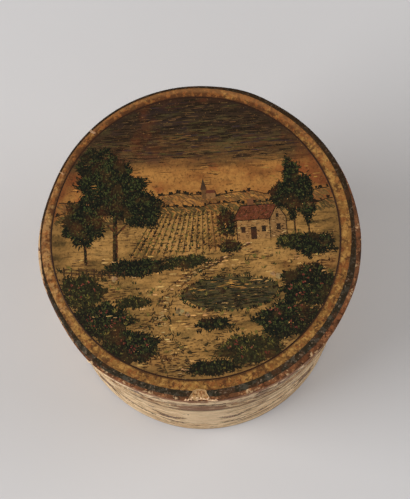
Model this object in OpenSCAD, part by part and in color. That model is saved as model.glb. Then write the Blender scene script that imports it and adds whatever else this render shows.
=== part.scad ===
// Round powder box of rolled pasteboard with a deep slip-on lid.
// The body and the lid are board tubes covered with printed paper. The lid slides over an
// inner collar and rests on the shoulder of the body. Millimetres, +Z up, front at -Y.

/* [Overall] */

// Height of the closed box
box_h = 116; // [90:1:160]

// Diameter over the paper of the lid
lid_d = 116; // [80:1:160]

// Height of the lid, from its rim to the picture
lid_h = 43; // [38:1:60]

/* [Boards] */

// Thickness of the lid's top board
lid_board_t = 2.4; // [1.6:0.1:4]

// Thickness of the lid's wall
lid_wall_t = 2; // [1.2:0.1:3]

// Thickness of the body's wall
body_wall_t = 1.9; // [1.2:0.1:3]

// Thickness of the base board
base_board_t = 2.4; // [1.6:0.1:4]

// Rounding of the lid's upper edge
lid_edge_r = 0.8; // [0.6:0.1:1.4]

/* [Collar] */

// Thickness of the collar
collar_t = 1.6; // [1:0.1:2.5]

// Height of the collar above the shoulder
collar_rise = 30; // [15:1:33]

// Play all round between the collar and the lid
collar_gap = 0.3; // [0.2:0.05:0.6]

/* [Papers] */

// Thickness of the printed cover papers
cover_t = 0.3; // [0.2:0.05:0.5]

// Thickness of the linings and of the picture
lining_t = 0.2; // [0.15:0.05:0.4]

// Width of the cover paper turned in under the base
turn_in = 8; // [4:0.5:15]

// Step from the body's outside in to the edge of the base paper
base_paper_step = 2.5; // [1:0.5:3.5]

// Overlap where each side paper closes on itself
seam_w = 7; // [4:0.5:12]

// Place of the seams round the box, from +X
seam_at = 118; // [20:1:160]

// Depth of the top paper turned down over the lid's edge
cover_drop = 1.6; // [1.2:0.1:4]

// Height of the binding on the outside of the lid's rim
rim_bind_out = 13; // [4:0.5:14]

// Height of the binding on the inside of the lid's rim
rim_bind_in = 8; // [3:0.5:12]

// Depth of the collar's binding on its inside
neck_bind_in = 7; // [3:0.5:14]

/* [Picture] */

// Brown margin between the dark band and the lid's edge, if the rings were centred
edge_margin = 0.3; // [0.2:0.1:6]

// How far the picture is pasted off centre, to the right
picture_x = -0.9; // [-1:0.1:1]

// How far the picture is pasted off centre, to the back
picture_y = 1.2; // [-1.2:0.1:1.2]

// Width of the ochre ring round the picture
ring_w = 3.4; // [2:0.1:8]

// How far the ring's outer edge is off centre, to the right
ring_x = -1.4; // [-1.4:0.1:1.4]

// How far the ring's outer edge is off centre, to the back
ring_y = 0.9; // [-0.9:0.1:0.9]

// Width of the dark band round the ring
band_w = 1.7; // [1:0.1:2.5]

// Diameter of the chip out of the lid's front edge
chip_d = 6.4; // [2:0.1:8]

// Place of the chip round the lid, from +X
chip_at = -94; // [-110:1:-70]

/* [Hidden] */

$fn = 120;

// Spare length of a cutter beyond the face it cuts
cut = 1;

// Radii of the lid, from its outside in
lid_r = lid_d / 2;
lid_wall_r = lid_r - cover_t;
lid_bore_r = lid_wall_r - lid_wall_t;
lid_clear_r = lid_bore_r - lining_t;
lid_flat_r = lid_r - lid_edge_r;

// Radii of the collar and the body
neck_r = lid_clear_r - collar_gap;
collar_r = neck_r - lining_t;
collar_bore_r = collar_r - collar_t;
inside_r = collar_bore_r - lining_t;
body_wall_r = collar_r + body_wall_t;
body_r = body_wall_r + cover_t;
base_paper_r = body_r - base_paper_step;
turn_in_r = body_r - turn_in;

// Heights, from the table up
wrap_z = cover_t;
wall_z = wrap_z + cover_t;
floor_z = wall_z + base_board_t;
lining_z = floor_z + lining_t;
shoulder_z = box_h - lid_h;
collar_top_z = shoulder_z + collar_rise;
picture_z = box_h - lining_t;
lid_board_top_z = picture_z - cover_t;
lid_board_z = lid_board_top_z - lid_board_t;
lid_lining_z = lid_board_z - lining_t;
lid_wall_z = shoulder_z + cover_t;
lid_wrap_z = shoulder_z + rim_bind_out;
lid_wrap_top_z = lid_board_top_z - cover_drop;

// Radii of the rings on the lid
band_r = lid_flat_r - edge_margin;
ring_r = band_r - band_w;
picture_r = ring_r - ring_w;

// Colours
board_colour = [0.66, 0.56, 0.42];
cream_colour = [0.72, 0.62, 0.48];
lining_colour = [0.80, 0.75, 0.64];
brown_colour = [0.52, 0.37, 0.21];
ochre_colour = [0.56, 0.40, 0.23];
dark_colour = [0.24, 0.20, 0.13];
rose_colour = [0.45, 0.25, 0.27];
picture_colour = [0.36, 0.29, 0.17];

// Solid disc about the box's axis
module disc(r, z0, z1) {
    translate([0, 0, z0])
        cylinder(r = r, h = z1 - z0);
}

// Tube about the box's axis
module tube(r_out, r_in, z0, z1) {
    difference() {
        disc(r_out, z0, z1);
        disc(r_in, z0 - cut, z1 + cut);
    }
}

// Disc with a rounded upper edge
module capped_disc(r, z0, z1, edge) {
    rotate_extrude()
        union() {
            translate([0, z0])
                square([r - edge, z1 - z0]);
            translate([0, z0])
                square([r, z1 - edge - z0]);
            translate([r - edge, z1 - edge])
                circle(r = edge);
        }
}

// Second layer of paper where a side paper closes on itself
module seam(r, z0, z1) {
    sweep = seam_w / r * 180 / PI;
    rotate([0, 0, seam_at - sweep / 2])
        rotate_extrude(angle = sweep)
            translate([r - cover_t / 2, z0])
                square([cover_t * 3 / 2, z1 - z0]);
}

// Hole left by the chip, through the papers at the lid's front edge
module chip() {
    rotate([0, 0, chip_at])
        translate([lid_flat_r, 0, lid_board_top_z - lid_edge_r])
            cylinder(d = chip_d, h = lid_edge_r + cover_t + lining_t + cut);
}

// Flat disc in the layer of the picture, pasted off centre
module pasted(r, x, y, spare) {
    translate([x, y, picture_z - spare])
        cylinder(r = r, h = lining_t + 2 * spare);
}

// Paper under the base, pressed up inside the turned-in edge of the side paper
module base_paper() {
    color(board_colour)
        union() {
            tube(base_paper_r, turn_in_r - cover_t, 0, wrap_z);
            disc(turn_in_r, wrap_z, wall_z);
        }
}

// Round board that closes the body
module base_board() {
    color(board_colour)
        disc(collar_r, wall_z, floor_z);
}

// Board tube of the body
module body_wall() {
    color(board_colour)
        tube(body_wall_r, collar_r, wall_z, shoulder_z);
}

// Printed paper round the body, turned in under the base
module body_wrap() {
    color(cream_colour)
        union() {
            tube(body_r, body_wall_r, wrap_z, shoulder_z);
            tube(body_r, turn_in_r, wrap_z, wall_z);
            seam(body_r, wall_z, shoulder_z);
        }
}

// Inner tube that stands on the base board and guides the lid
module collar() {
    color(board_colour)
        tube(collar_r, collar_bore_r, floor_z, collar_top_z);
}

// Paper on the floor of the box
module floor_lining() {
    color(lining_colour)
        disc(collar_bore_r, floor_z, lining_z);
}

// Paper round the inside of the box, up to the collar's binding
module wall_lining() {
    color(lining_colour)
        tube(collar_bore_r, inside_r, lining_z, collar_top_z - neck_bind_in);
}

// Paper folded over the top of the collar and down to the shoulder
module neck_binding() {
    color(cream_colour)
        union() {
            tube(neck_r, collar_r, shoulder_z, collar_top_z);
            tube(neck_r, inside_r, collar_top_z, collar_top_z + lining_t);
            tube(collar_bore_r, inside_r, collar_top_z - neck_bind_in, collar_top_z);
        }
}

// Round board of the lid's top
module lid_board() {
    color(board_colour)
        capped_disc(lid_wall_r, lid_board_z, lid_board_top_z, lid_edge_r - cover_t);
}

// Board tube of the lid
module lid_wall() {
    color(board_colour)
        tube(lid_wall_r, lid_bore_r, lid_wall_z, lid_board_z);
}

// Brown paper over the lid's top, turned down over the edge
module lid_cover() {
    color(brown_colour)
        difference() {
            capped_disc(lid_r, lid_wrap_top_z, picture_z, lid_edge_r);
            capped_disc(lid_wall_r, lid_wrap_top_z - cut, lid_board_top_z, lid_edge_r - cover_t);
            chip();
        }
}

// Printed paper round the lid
module lid_wrap() {
    color(cream_colour)
        union() {
            tube(lid_r, lid_wall_r, lid_wrap_z, lid_wrap_top_z);
            seam(lid_r, lid_wrap_z, lid_wrap_top_z);
        }
}

// Coloured paper folded round the lid's rim
module rim_binding() {
    color(rose_colour)
        union() {
            tube(lid_r, lid_wall_r, shoulder_z, lid_wrap_z);
            tube(lid_r, lid_clear_r, shoulder_z, lid_wall_z);
            tube(lid_bore_r, lid_clear_r, shoulder_z, shoulder_z + rim_bind_in);
        }
}

// Paper inside the lid's top
module lid_lining() {
    color(lining_colour)
        disc(lid_bore_r, lid_lining_z, lid_board_z);
}

// Paper round the inside of the lid, down to the rim's binding
module lid_wall_lining() {
    color(lining_colour)
        tube(lid_bore_r, lid_clear_r, shoulder_z + rim_bind_in, lid_lining_z);
}

// Picture on the lid
module lid_print() {
    color(picture_colour)
        pasted(picture_r, picture_x, picture_y, 0);
}

// Ochre ring round the picture
module lid_ring() {
    color(ochre_colour)
        difference() {
            pasted(ring_r, ring_x, ring_y, 0);
            pasted(picture_r, picture_x, picture_y, cut);
        }
}

// Dark band round the ring, trimmed where the lid's edge turns down
module lid_band() {
    color(dark_colour)
        difference() {
            intersection() {
                pasted(band_r, ring_x, ring_y, 0);
                disc(lid_flat_r, picture_z - cut, box_h + cut);
            }
            pasted(ring_r, ring_x, ring_y, cut);
            chip();
        }
}

base_paper();
base_board();
body_wall();
body_wrap();
collar();
floor_lining();
wall_lining();
neck_binding();
lid_board();
lid_wall();
lid_cover();
lid_wrap();
rim_binding();
lid_lining();
lid_wall_lining();
lid_print();
lid_ring();
lid_band();
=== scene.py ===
import math
import random

import bmesh
import bpy
from mathutils import Matrix, Vector, noise


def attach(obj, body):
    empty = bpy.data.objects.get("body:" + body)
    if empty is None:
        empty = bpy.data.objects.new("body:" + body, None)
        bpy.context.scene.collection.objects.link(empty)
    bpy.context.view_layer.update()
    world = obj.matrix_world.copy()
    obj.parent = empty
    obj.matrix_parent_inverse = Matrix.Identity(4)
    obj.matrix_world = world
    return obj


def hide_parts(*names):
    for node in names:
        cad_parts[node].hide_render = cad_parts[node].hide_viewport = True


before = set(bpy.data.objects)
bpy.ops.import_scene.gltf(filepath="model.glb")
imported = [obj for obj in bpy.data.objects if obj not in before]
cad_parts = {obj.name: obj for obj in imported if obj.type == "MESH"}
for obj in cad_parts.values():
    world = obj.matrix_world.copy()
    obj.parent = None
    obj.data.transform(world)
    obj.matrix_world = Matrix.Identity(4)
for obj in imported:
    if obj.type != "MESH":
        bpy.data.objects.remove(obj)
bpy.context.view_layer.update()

# Sizes of the box in millimetres, as in the part's source
MM = 0.001
LID_R = 58.0
LID_FLAT_R = 57.2
LID_WALL_R = 57.7
LID_BORE_R = 55.7
LID_CLEAR_R = 55.5
NECK_R = 55.2
COLLAR_R = 55.0
COLLAR_BORE_R = 53.4
INSIDE_R = 53.2
BODY_WALL_R = 56.9
BODY_R = 57.2
BASE_PAPER_R = 54.7
TURN_IN_R = 49.2
WRAP_Z = 0.3
WALL_Z = 0.6
FLOOR_Z = 3.0
LINING_Z = 3.2
SHOULDER_Z = 73.0
COLLAR_TOP_Z = 103.0
NECK_FOLD_Z = 96.0
RIM_TOP_Z = 86.0
RIM_FOLD_Z = 81.0
LID_LINING_Z = 112.9
LID_BOARD_Z = 113.1
BOARD_TOP_Z = 115.5
PICTURE_Z = 115.8
TOP_Z = 116.0
SEAM_AT = math.radians(118)
SEAM_W = 7.0
CHIP_AT = math.radians(-94)

# Sizes of the old papers as they are now, in millimetres
LID_SIDE_R = 57.85
LID_SIDE_TOP_Z = 115.0
RIM_LAP_Z = 87.2
COVER_R = LID_R + 0.06
COVER_BEND_Z = 114.6
COVER_FOOT_Z = 108.4
EDGE_ROUND = 0.85
PICTURE_C = (-1.3, 1.5)
PICTURE_R = 52.4
RULE_R = PICTURE_R - 0.3
LIMIT = PICTURE_R - 0.4
RING_C = (-1.2, 1.35)
RING_R = 55.7
CHIP_START_R = 53.9

# The old lid is out of round: longer from front to back, and drawn in towards its rim
OVAL = 1.006
RIM_DRAW = 0.75
ROUND_INSIDE_R = 56.5

# Bumps and flats of the lid's edge, wander of the ring's outer edge, and width of the brown margin
# outside the band: degrees round the lid, spread in degrees, millimetres
BUMPS = ((185, 12, 0.4), (204, 12, -0.3), (157, 14, -0.85), (137, 14, -0.35), (92, 14, 0.2), (69, 10, 0.6),
         (-5, 9, 0.25), (-19, 9, 0.35), (-42, 8, 0.25), (-134, 11, 0.8))
RING_WANDER = ((20, 26, 0.5), (-50, 16, -0.3))
MARGINS = ((0, 16, 1.5), (-45, 34, 2.1), (-92, 24, 0.9), (-122, 26, 0.7), (-160, 20, 0.2), (182, 9, 0.8))

# How far the side papers stand proud of their boards: millimetres, seed
BODY_SWELL = (0.16, 2.0)
LID_SWELL = (0.12, 5.0)

# Printed rules round the sides: height, width
BODY_RULES = ((17.5, 2.8), (11.5, 1.6), (51.5, 2.4), (62.0, 1.8), (66.5, 1.2))
LID_RULES = ((89.0, 1.8), (94.0, 1.2), (101.5, 1.4), (108.0, 1.4))

# Degrees round the box of the mauve patch on the lid's side, and of the bare place on the body's
PATCH_AT = -94
BARE_AT = -93


def rgb(red, green, blue):
    """A colour as it is seen, 0 to 255, turned into the light values that shaders take."""
    def light(part):
        part /= 255
        return part / 12.92 if part <= 0.04045 else ((part + 0.055) / 1.055) ** 2.4
    return light(red), light(green), light(blue), 1.0


# Shader maths

class Value:
    """A number that changes over a surface. Sums with it add Math nodes."""

    def __init__(self, nodes, socket):
        self.nodes = nodes
        self.socket = socket

    def __add__(self, other):
        return self.nodes.sum("ADD", self, other)

    def __radd__(self, other):
        return self.nodes.sum("ADD", other, self)

    def __sub__(self, other):
        return self.nodes.sum("SUBTRACT", self, other)

    def __rsub__(self, other):
        return self.nodes.sum("SUBTRACT", other, self)

    def __mul__(self, other):
        return self.nodes.sum("MULTIPLY", self, other)

    def __rmul__(self, other):
        return self.nodes.sum("MULTIPLY", other, self)

    def __truediv__(self, other):
        return self.nodes.sum("DIVIDE", self, other)

    def __abs__(self):
        return self.nodes.sum("ABSOLUTE", self)


class Nodes:
    """A tree of shader nodes, added one by one."""

    def __init__(self, tree):
        self.tree = tree

    def node(self, kind, settings=(), sockets=()):
        made = self.tree.nodes.new("ShaderNode" + kind)
        for name, setting in dict(settings).items():
            if name == "stops":
                self.set_stops(made.color_ramp, setting)
            else:
                setattr(made, name, setting)
        for name, given in dict(sockets).items():
            self.feed(made.inputs[name], given)
        return made

    def set_stops(self, ramp, stops):
        while len(ramp.elements) < len(stops):
            ramp.elements.new(0.5)
        for element, (position, colour) in zip(ramp.elements, stops):
            element.position = position
            element.color = colour

    def feed(self, socket, given):
        if isinstance(given, Value):
            given = given.socket
        if isinstance(given, bpy.types.NodeSocket):
            self.tree.links.new(given, socket)
        else:
            socket.default_value = given

    def sum(self, operation, *terms):
        made = self.node("Math", {"operation": operation}, dict(enumerate(terms)))
        return Value(self, made.outputs[0])


class Finish(Nodes):
    """A material on Object coordinates in millimetres."""

    def __init__(self, name, constants=()):
        self.material = bpy.data.materials.new(name)
        self.material.use_nodes = True
        super().__init__(self.material.node_tree)
        self.shader = self.tree.nodes["Principled BSDF"]
        for socket, value in dict(constants).items():
            self.shader.inputs[socket].default_value = value
        place = self.node("TexCoord").outputs["Object"]
        scaled = self.node("VectorMath", {"operation": "SCALE"}, {0: place, "Scale": 1 / MM})
        self.place = scaled.outputs[0]
        split = self.node("SeparateXYZ", {}, {0: self.place})
        self.x, self.y, self.z = (Value(self, out) for out in split.outputs)

    def moved(self, size, stretch, seed):
        """Coordinates squeezed by the size of a pattern's spots."""
        shift = (seed * 7.31, seed * 3.17, seed * 5.73)
        sockets = {"Vector": self.place, "Location": shift, "Scale": [part / size for part in stretch]}
        return self.node("Mapping", {"vector_type": "POINT"}, sockets).outputs[0]

    def mottle(self, size, detail=3.0, rough=0.55, stretch=(1, 1, 1), seed=0):
        """Soft random spots, 0 to 1, about size millimetres wide."""
        place = self.moved(size, stretch, seed)
        sockets = {"Vector": place, "Scale": 1.0, "Detail": detail, "Roughness": rough}
        return Value(self, self.node("TexNoise", {}, sockets).outputs[0])

    def spots(self, tone, colour, share, size, low, high, seed, rough=0.65, stretch=(1, 1, 1), detail=4,
              more=None):
        """Random spots of a colour over a tone: none where the pattern is below low, full above high.
        More is added to the pattern where the spots are to be thicker."""
        pattern = self.mottle(size, detail, rough, stretch, seed)
        if more is not None:
            pattern = pattern + more
        return self.mix(self.step(pattern, low, high) * share, tone, colour)

    def cracks(self, size, low, high, seed, stretch=(1, 1, 1), bend=0.5):
        """1 on the edges of cells about size millimetres wide, 0 away from them. Low and high are where
        a crack fades, as shares of that size. Bend is how far the edges wander from straight lines."""
        place = self.moved(size, stretch, seed)
        drift = self.node("TexNoise", {}, {"Vector": place, "Scale": 1.6, "Detail": 4.0}).outputs["Color"]
        bent = self.node("VectorMath", {"operation": "MULTIPLY_ADD"}, {0: drift, 1: [bend] * 3, 2: place})
        sockets = {"Vector": bent.outputs[0], "Scale": 1.0}
        cells = self.node("TexVoronoi", {"feature": "DISTANCE_TO_EDGE"}, sockets)
        return 1 - self.step(Value(self, cells.outputs["Distance"]), low, high)

    def step(self, value, low, high):
        """0 below low, 1 above high, smooth between."""
        sockets = {"Value": value, "From Min": low, "From Max": high}
        return Value(self, self.node("MapRange", {"interpolation_type": "SMOOTHSTEP"}, sockets).outputs[0])

    def line(self, value, at, width):
        """1 on a thin line where value is at, 0 away from it."""
        return 1 - self.step(abs(value - at), width * 0.35, width * 0.65)

    def mix(self, share, first, second, how="MIX"):
        made = self.node("Mix", {"data_type": "RGBA", "blend_type": how}, {0: share, 6: first, 7: second})
        return made.outputs[2]

    def ramp(self, value, stops):
        return self.node("ValToRGB", {"stops": stops}, {0: value}).outputs[0]

    def tint(self):
        """The colour that each mark of a piece carries."""
        return self.node("Attribute", {"attribute_name": "tint"}).outputs["Color"]

    def turn(self):
        """Angle round the box, from +X, in degrees."""
        return self.sum("ARCTAN2", self.y, self.x) * (180 / math.pi)

    def reach(self, centre=(0, 0)):
        """Distance from an upright axis."""
        across = self.x - centre[0]
        along = self.y / OVAL - centre[1]
        return self.sum("SQRT", across * across + along * along)

    def finish(self, colour, rough, height=None, depth=0.1, strength=0.6):
        self.feed(self.shader.inputs["Base Color"], colour)
        self.feed(self.shader.inputs["Roughness"], rough)
        if height is not None:
            sockets = {"Height": height, "Strength": strength, "Distance": depth * MM}
            self.feed(self.shader.inputs["Normal"], self.node("Bump", {}, sockets).outputs[0])
        return self.material


# Finishes

VARNISH = {"Coat Weight": 0.05, "Coat Roughness": 0.3, "Specular IOR Level": 0.08}
DRY = {"Specular IOR Level": 0.05}
AMBER = (1.0, 0.95, 0.87, 1.0)


def fibres(f, seed):
    """Fine lie of the fibres in handmade paper."""
    long = f.mottle(0.5, 2, 0.6, (0.25, 0.25, 1), seed)
    fine = f.mottle(0.22, 2, 0.6, (1, 1, 1), seed + 1)
    return long * 0.6 + fine * 0.4


def old_paper(name, base, stain, spot, seed, stains=0.5, constants=DRY):
    """Plain rag paper with soft stains, brown spots and fibres."""
    f = Finish(name, constants)
    tone = f.spots(base, stain, stains, 17, 0.42, 0.72, seed, 0.6)
    tone = f.spots(tone, spot, 0.45, 2.6, 0.66, 0.78, seed + 2, 0.5, detail=2)
    grain = fibres(f, seed + 3)
    tone = f.mix(f.step(grain, 0.35, 0.7) * 0.22, tone, spot)
    return f, tone, grain


def gritty(f, tone, share, seed, dark=rgb(40, 28, 18), pale=rgb(190, 152, 104)):
    """Fine specks of dirt, and pale specks that are partly worn colour and partly painted glints, as old
    varnished prints have.
    """
    tone = f.spots(tone, dark, share, 0.8, 0.5, 0.72, seed, 0.7, detail=3)
    # Pale specks: partly worn colour, partly painted glints.
    return f.spots(tone, pale, share * 0.8, 0.7, 0.6, 0.74, seed + 1, 0.7, detail=3)


def lining_finish():
    """White lining paper, darker and browner near the floor of the box."""
    f, tone, grain = old_paper("lining_paper", rgb(206, 194, 168), rgb(176, 152, 116), rgb(150, 120, 84), 3)
    low = 1 - f.step(f.z, 3, 16)
    tone = f.mix(low * 0.3, tone, rgb(160, 136, 102))
    return f.finish(tone, 0.85 - 0.1 * grain, grain, 0.05)


def neck_finish():
    """Lining paper on the collar, scuffed up and down by the lid and grimy above the shoulder."""
    f, tone, grain = old_paper("neck_paper", rgb(212, 198, 168), rgb(186, 162, 124), rgb(150, 120, 84), 14)
    scuff = f.step(f.mottle(1.3, 4, 0.65, (1, 1, 0.06), 15), 0.54, 0.66)
    tone = f.mix(scuff * 0.45, tone, rgb(168, 140, 104))
    rub = f.step(f.mottle(1.0, 4, 0.65, (1, 1, 0.08), 16), 0.56, 0.66)
    tone = f.mix(rub * 0.6, tone, rgb(232, 222, 198))
    grime = 1 - f.step(f.z + f.mottle(9, 3, seed=17) * 6, SHOULDER_Z + 3, SHOULDER_Z + 11)
    tone = f.mix(grime * 0.55, tone, rgb(150, 114, 78))
    edge = f.step(f.z + f.mottle(3, 4, seed=18) * 2, COLLAR_TOP_Z + 0.2, COLLAR_TOP_Z + 1.2)
    tone = f.mix(edge * 0.6, tone, rgb(158, 126, 90))
    return f.finish(tone, 0.8 - 0.1 * scuff, grain + rub * 0.5, 0.06)


def board_finish():
    """Raw pasteboard with pale clumps of fibre."""
    f, tone, _ = old_paper("board", rgb(182, 144, 100), rgb(150, 110, 70), rgb(112, 80, 50), 5)
    clumps = f.mottle(0.9, 3, 0.7, (1, 1, 2.5), 6)
    tone = f.mix(f.step(clumps, 0.5, 0.75) * 0.5, tone, rgb(206, 174, 130))
    return f.finish(tone, 0.9, clumps, 0.16, 0.9)


def base_finish():
    """Worn paper under the base."""
    f, tone, grain = old_paper("base_paper", rgb(168, 142, 106), rgb(128, 102, 72), rgb(96, 74, 52), 8, 0.7)
    tone = f.spots(tone, rgb(196, 174, 138), 0.5, 1.4, 0.6, 0.72, 9, 0.7, (1, 3, 1))
    return f.finish(tone, 0.88, grain, 0.08)


def blotched(f, tone, seed=200):
    """Colours that have run and worn on the lid's side: mauve at the front, brown and grey to its right."""
    turn = f.turn()
    patch = 1 - f.step(abs(turn - PATCH_AT), 5, 13)
    right = f.step(turn, -86, -72) * (1 - f.step(turn, -30, 0))
    near = 1 - 0.5 * f.step(abs(turn + 90), 50, 90)
    low = 1 - f.step(f.z, 90, 95)
    tone = f.spots(tone, rgb(142, 94, 54), near * 0.7, 6, 0.47, 0.58, seed + 1, more=0.06 * right)
    tone = f.spots(tone, rgb(90, 56, 32), near * 0.75, 4.2, 0.53, 0.58, seed + 4, stretch=(1, 1, 0.7))
    tone = f.spots(tone, rgb(102, 82, 62), near * 0.55, 3.6, 0.57, 0.62, seed + 2, more=0.05 * right)
    tone = f.spots(tone, rgb(242, 214, 170), 0.75, 4.0, 0.53, 0.62, seed + 3)
    upper = f.step(f.z + f.mottle(6, 4, 0.65, seed=seed + 6) * 10, 102, 107)
    tone = f.mix(upper * (0.2 + 0.6 * right), tone, rgb(112, 66, 38))
    tone = f.spots(tone, rgb(134, 94, 72), low * patch * 0.85, 4, 0.56, 0.66, seed, 0.6, more=0.24 * patch)
    return f.mix(f.line(f.z, 96.5, 3.0) * patch * 0.75, tone, rgb(66, 44, 28))


def stained(f, tone, seed=220):
    """Brown and olive stains and rubbed pale places of the body's side."""
    turn = f.turn()
    right = f.step(turn, -88, -60) * (1 - f.step(turn, 20, 60))
    tone = f.spots(tone, rgb(182, 132, 82), 0.45, 9, 0.46, 0.64, seed, more=0.05 * right)
    tone = f.spots(tone, rgb(150, 120, 70), 0.45, 6, 0.5, 0.66, seed + 1, more=0.04 * right)
    tone = f.spots(tone, rgb(108, 72, 40), 0.5, 4, 0.56, 0.66, seed + 2, more=0.03 * right)
    tone = f.spots(tone, rgb(246, 219, 178), 0.6, 5, 0.5, 0.66, seed + 3)
    bare = (1 - f.step(abs(turn - BARE_AT), 6, 12)) * f.step(f.z, 22, 30)
    return f.mix(bare * 0.55, tone, rgb(238, 207, 166))


def side_paper_finish(name, low, high, seed, rules, spoiled):
    """Cream paper of the sides: tide marks, stains, printed rules, creases and rubbed places, soiled at
    its edges, the upper edge also darkened as painted shade under the part above it. Spoiled is the
    function that lays the stains."""
    f, tone, grain = old_paper(name, rgb(245, 213, 169), rgb(224, 184, 136), rgb(156, 114, 74), seed, 0.5)
    turn = f.turn()
    damp = f.mottle(26, 4, 0.55, (1, 1, 1.5), seed + 10)
    tone = f.mix(f.step(damp, 0.54, 0.58) * 0.25, tone, rgb(184, 142, 98))
    tone = f.mix(f.line(damp, 0.55, 0.02) * 0.45, tone, rgb(140, 100, 66))
    tone = spoiled(f, tone)
    level = f.z + f.mottle(30, 2, seed=seed + 7) * 1.6 - 0.8
    worn = f.step(f.mottle(7, 3, 0.6, seed=seed + 8), 0.3, 0.44)
    printed = sum(f.line(level, at, wide) for at, wide in rules)
    right = f.step(turn, -100, -70) * (1 - f.step(turn, 60, 120))
    away = f.step(abs(turn - BARE_AT), 9, 16)
    tone = f.mix(printed * worn * away * (0.3 + 0.55 * right), tone, rgb(66, 42, 25))
    crease = f.cracks(16, 0.006, 0.022, seed + 13, (0.6, 0.6, 1.4), 1.2)
    tone = f.mix(crease * f.step(damp, 0.4, 0.5) * 0.5, tone, rgb(104, 76, 58))
    rub = f.step(f.mottle(4, 4, 0.7, (0.7, 0.7, 1.4), seed + 11), 0.54, 0.66)
    tone = f.mix(rub * 0.35, tone, rgb(244, 222, 182))
    # Soil along both edges of the paper; along the upper edge, under the part above it, the darkening is also
    # painted shade.
    edges = 0.9 * (1 - f.step(f.z, low + 1.5, low + 3.5)) + f.step(f.z, high - 3.5, high - 0.8)
    soil_and_shade = edges * (0.5 + f.mottle(8, 3, seed=seed + 14))
    tone = f.mix(soil_and_shade * 0.55, tone, rgb(122, 90, 62))
    tone = gritty(f, tone, 0.16, seed + 15, rgb(110, 82, 58), rgb(236, 216, 180))
    return f.finish(tone, 0.74 - 0.12 * worn, grain + 0.6 * rub - crease, 0.08)


def rim_finish():
    """Cream paper on the lid's rim, blotched like the paper above it and dark along its lower edge: partly a
    dark worn edge, partly painted shade of the gap between the lid and the body.
    """
    f, tone, grain = old_paper(
        "rim_paper", rgb(232, 198, 152), rgb(200, 156, 108), rgb(142, 102, 68), 31, 0.6)
    tone = blotched(f, tone)
    crease = f.cracks(14, 0.006, 0.022, 35, (0.5, 0.5, 1.4), 1.2)
    tone = f.mix(crease * 0.5, tone, rgb(96, 70, 56))
    # Painted shade: the dark line along the rim's lower edge stands for the shadow of the gap where the lid
    # meets the body.
    edge = 1 - f.step(f.z + f.mottle(5, 3, seed=36), SHOULDER_Z + 2.8, SHOULDER_Z + 3.6)
    tone = f.mix(edge * 0.9, tone, rgb(66, 44, 30))
    return f.finish(gritty(f, tone, 0.25, 37), 0.7, grain - crease, 0.07)


def nicked(f, tone):
    """Two pale nicks across the lid's edge, at the back on the left."""
    turn = f.turn() + f.mottle(3, 3, seed=49) * 2
    nick = (f.line(turn, 131, 0.7) + f.line(turn, 151, 0.5)) * f.step(f.reach(), 54.6, 56.0)
    return f.mix(nick * 0.5, tone, rgb(206, 168, 132))


def cover_finish():
    """Red-brown paper at the lid's edge, worn through to cream in places."""
    f, tone, grain = old_paper("cover_paper", rgb(112, 72, 46), rgb(90, 56, 35), rgb(56, 38, 25), 41, 0.7)
    tone = f.spots(tone, rgb(140, 80, 46), 0.5, 5, 0.46, 0.6, 43)
    tone = f.spots(tone, rgb(66, 42, 28), 0.55, 6, 0.5, 0.6, 48)
    tone = f.spots(tone, rgb(50, 32, 22), 0.75, 2.0, 0.5, 0.6, 46)
    tone = f.spots(tone, rgb(186, 128, 84), 0.55, 1.6, 0.55, 0.64, 47)
    down = 1 - f.step(f.z, COVER_BEND_Z, COVER_BEND_Z + 0.7)
    tone = gritty(f, f.mix(down * 0.5, tone, rgb(170, 106, 62)), 0.6, 44)
    front = 1 - f.step(abs(f.turn() + 90), 30, 80)
    turned = f.step(f.reach(), 57.0, 57.8)
    left = f.step(abs(f.turn()), 158, 172)
    edge = f.step(f.mottle(3.0, 4, 0.7, seed=45) + turned * (front * 0.06 + left * 0.2), 0.6, 0.68)
    tone = nicked(f, f.mix(edge * 0.8, tone, rgb(204, 168, 126)))
    return f.finish(tone, 0.55 + 0.2 * edge, grain + edge, 0.08)


def ring_finish():
    """Ochre ring, stained and finely cracked under old varnish, darkest at the back, with a painted highlight
    along its outer edge there.
    """
    f, tone, grain = old_paper(
        "ochre_ring", rgb(140, 98, 47), rgb(114, 74, 35), rgb(80, 50, 24), 51, 0.8, VARNISH)
    back = f.step(f.y - 0.4 * f.x, -10, 40)
    left = f.step(0 - f.x, 42, 54)
    tone = f.spots(tone, rgb(112, 66, 34), 0.5, 8, 0.48, 0.62, 52, 0.6, detail=3)
    tone = f.spots(tone, rgb(186, 138, 72), 0.5, 7, 0.5, 0.62, 56, 0.6, detail=3)
    tone = f.spots(tone, rgb(182, 136, 72), 0.65, 1.8, 0.5, 0.6, 53)
    tone = f.spots(tone, rgb(130, 72, 34), 0.6 + 0.15 * back, 2.8, 0.5, 0.6, 54, more=back * 0.12)
    tone = f.spots(tone, rgb(70, 41, 22), 0.75, 2.0, 0.53, 0.6, 57, more=back * 0.08)
    tone = f.spots(tone, rgb(206, 158, 98), left * 0.4, 2.0, 0.46, 0.58, 68)
    crack = f.cracks(2.6, 0.015, 0.05, 55)
    tone = f.mix(crack * 0.4, tone, rgb(66, 42, 24))
    tone = gritty(f, tone, 0.45, 58, rgb(62, 38, 20), rgb(188, 144, 80))
    # Painted highlight: the ring's outer edge is lighter towards the back, where it turns down over the lid's
    # rounding.
    outer = f.step(f.reach(RING_C) + f.mottle(2.0, 3, seed=60) * 1.2, RING_R - 1.4, RING_R - 0.2)
    tone = f.mix(outer * back * 0.3, tone, rgb(176, 124, 74))
    inner = 1 - f.step(f.reach(PICTURE_C) + f.mottle(2.0, 3, seed=59) * 1.2, PICTURE_R + 0.6, PICTURE_R + 1.4)
    tone = nicked(f, f.mix(inner * 0.65, tone, rgb(66, 40, 22)))
    return f.finish(tone, 0.5 + 0.15 * grain, grain - crack, 0.06)


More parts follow.
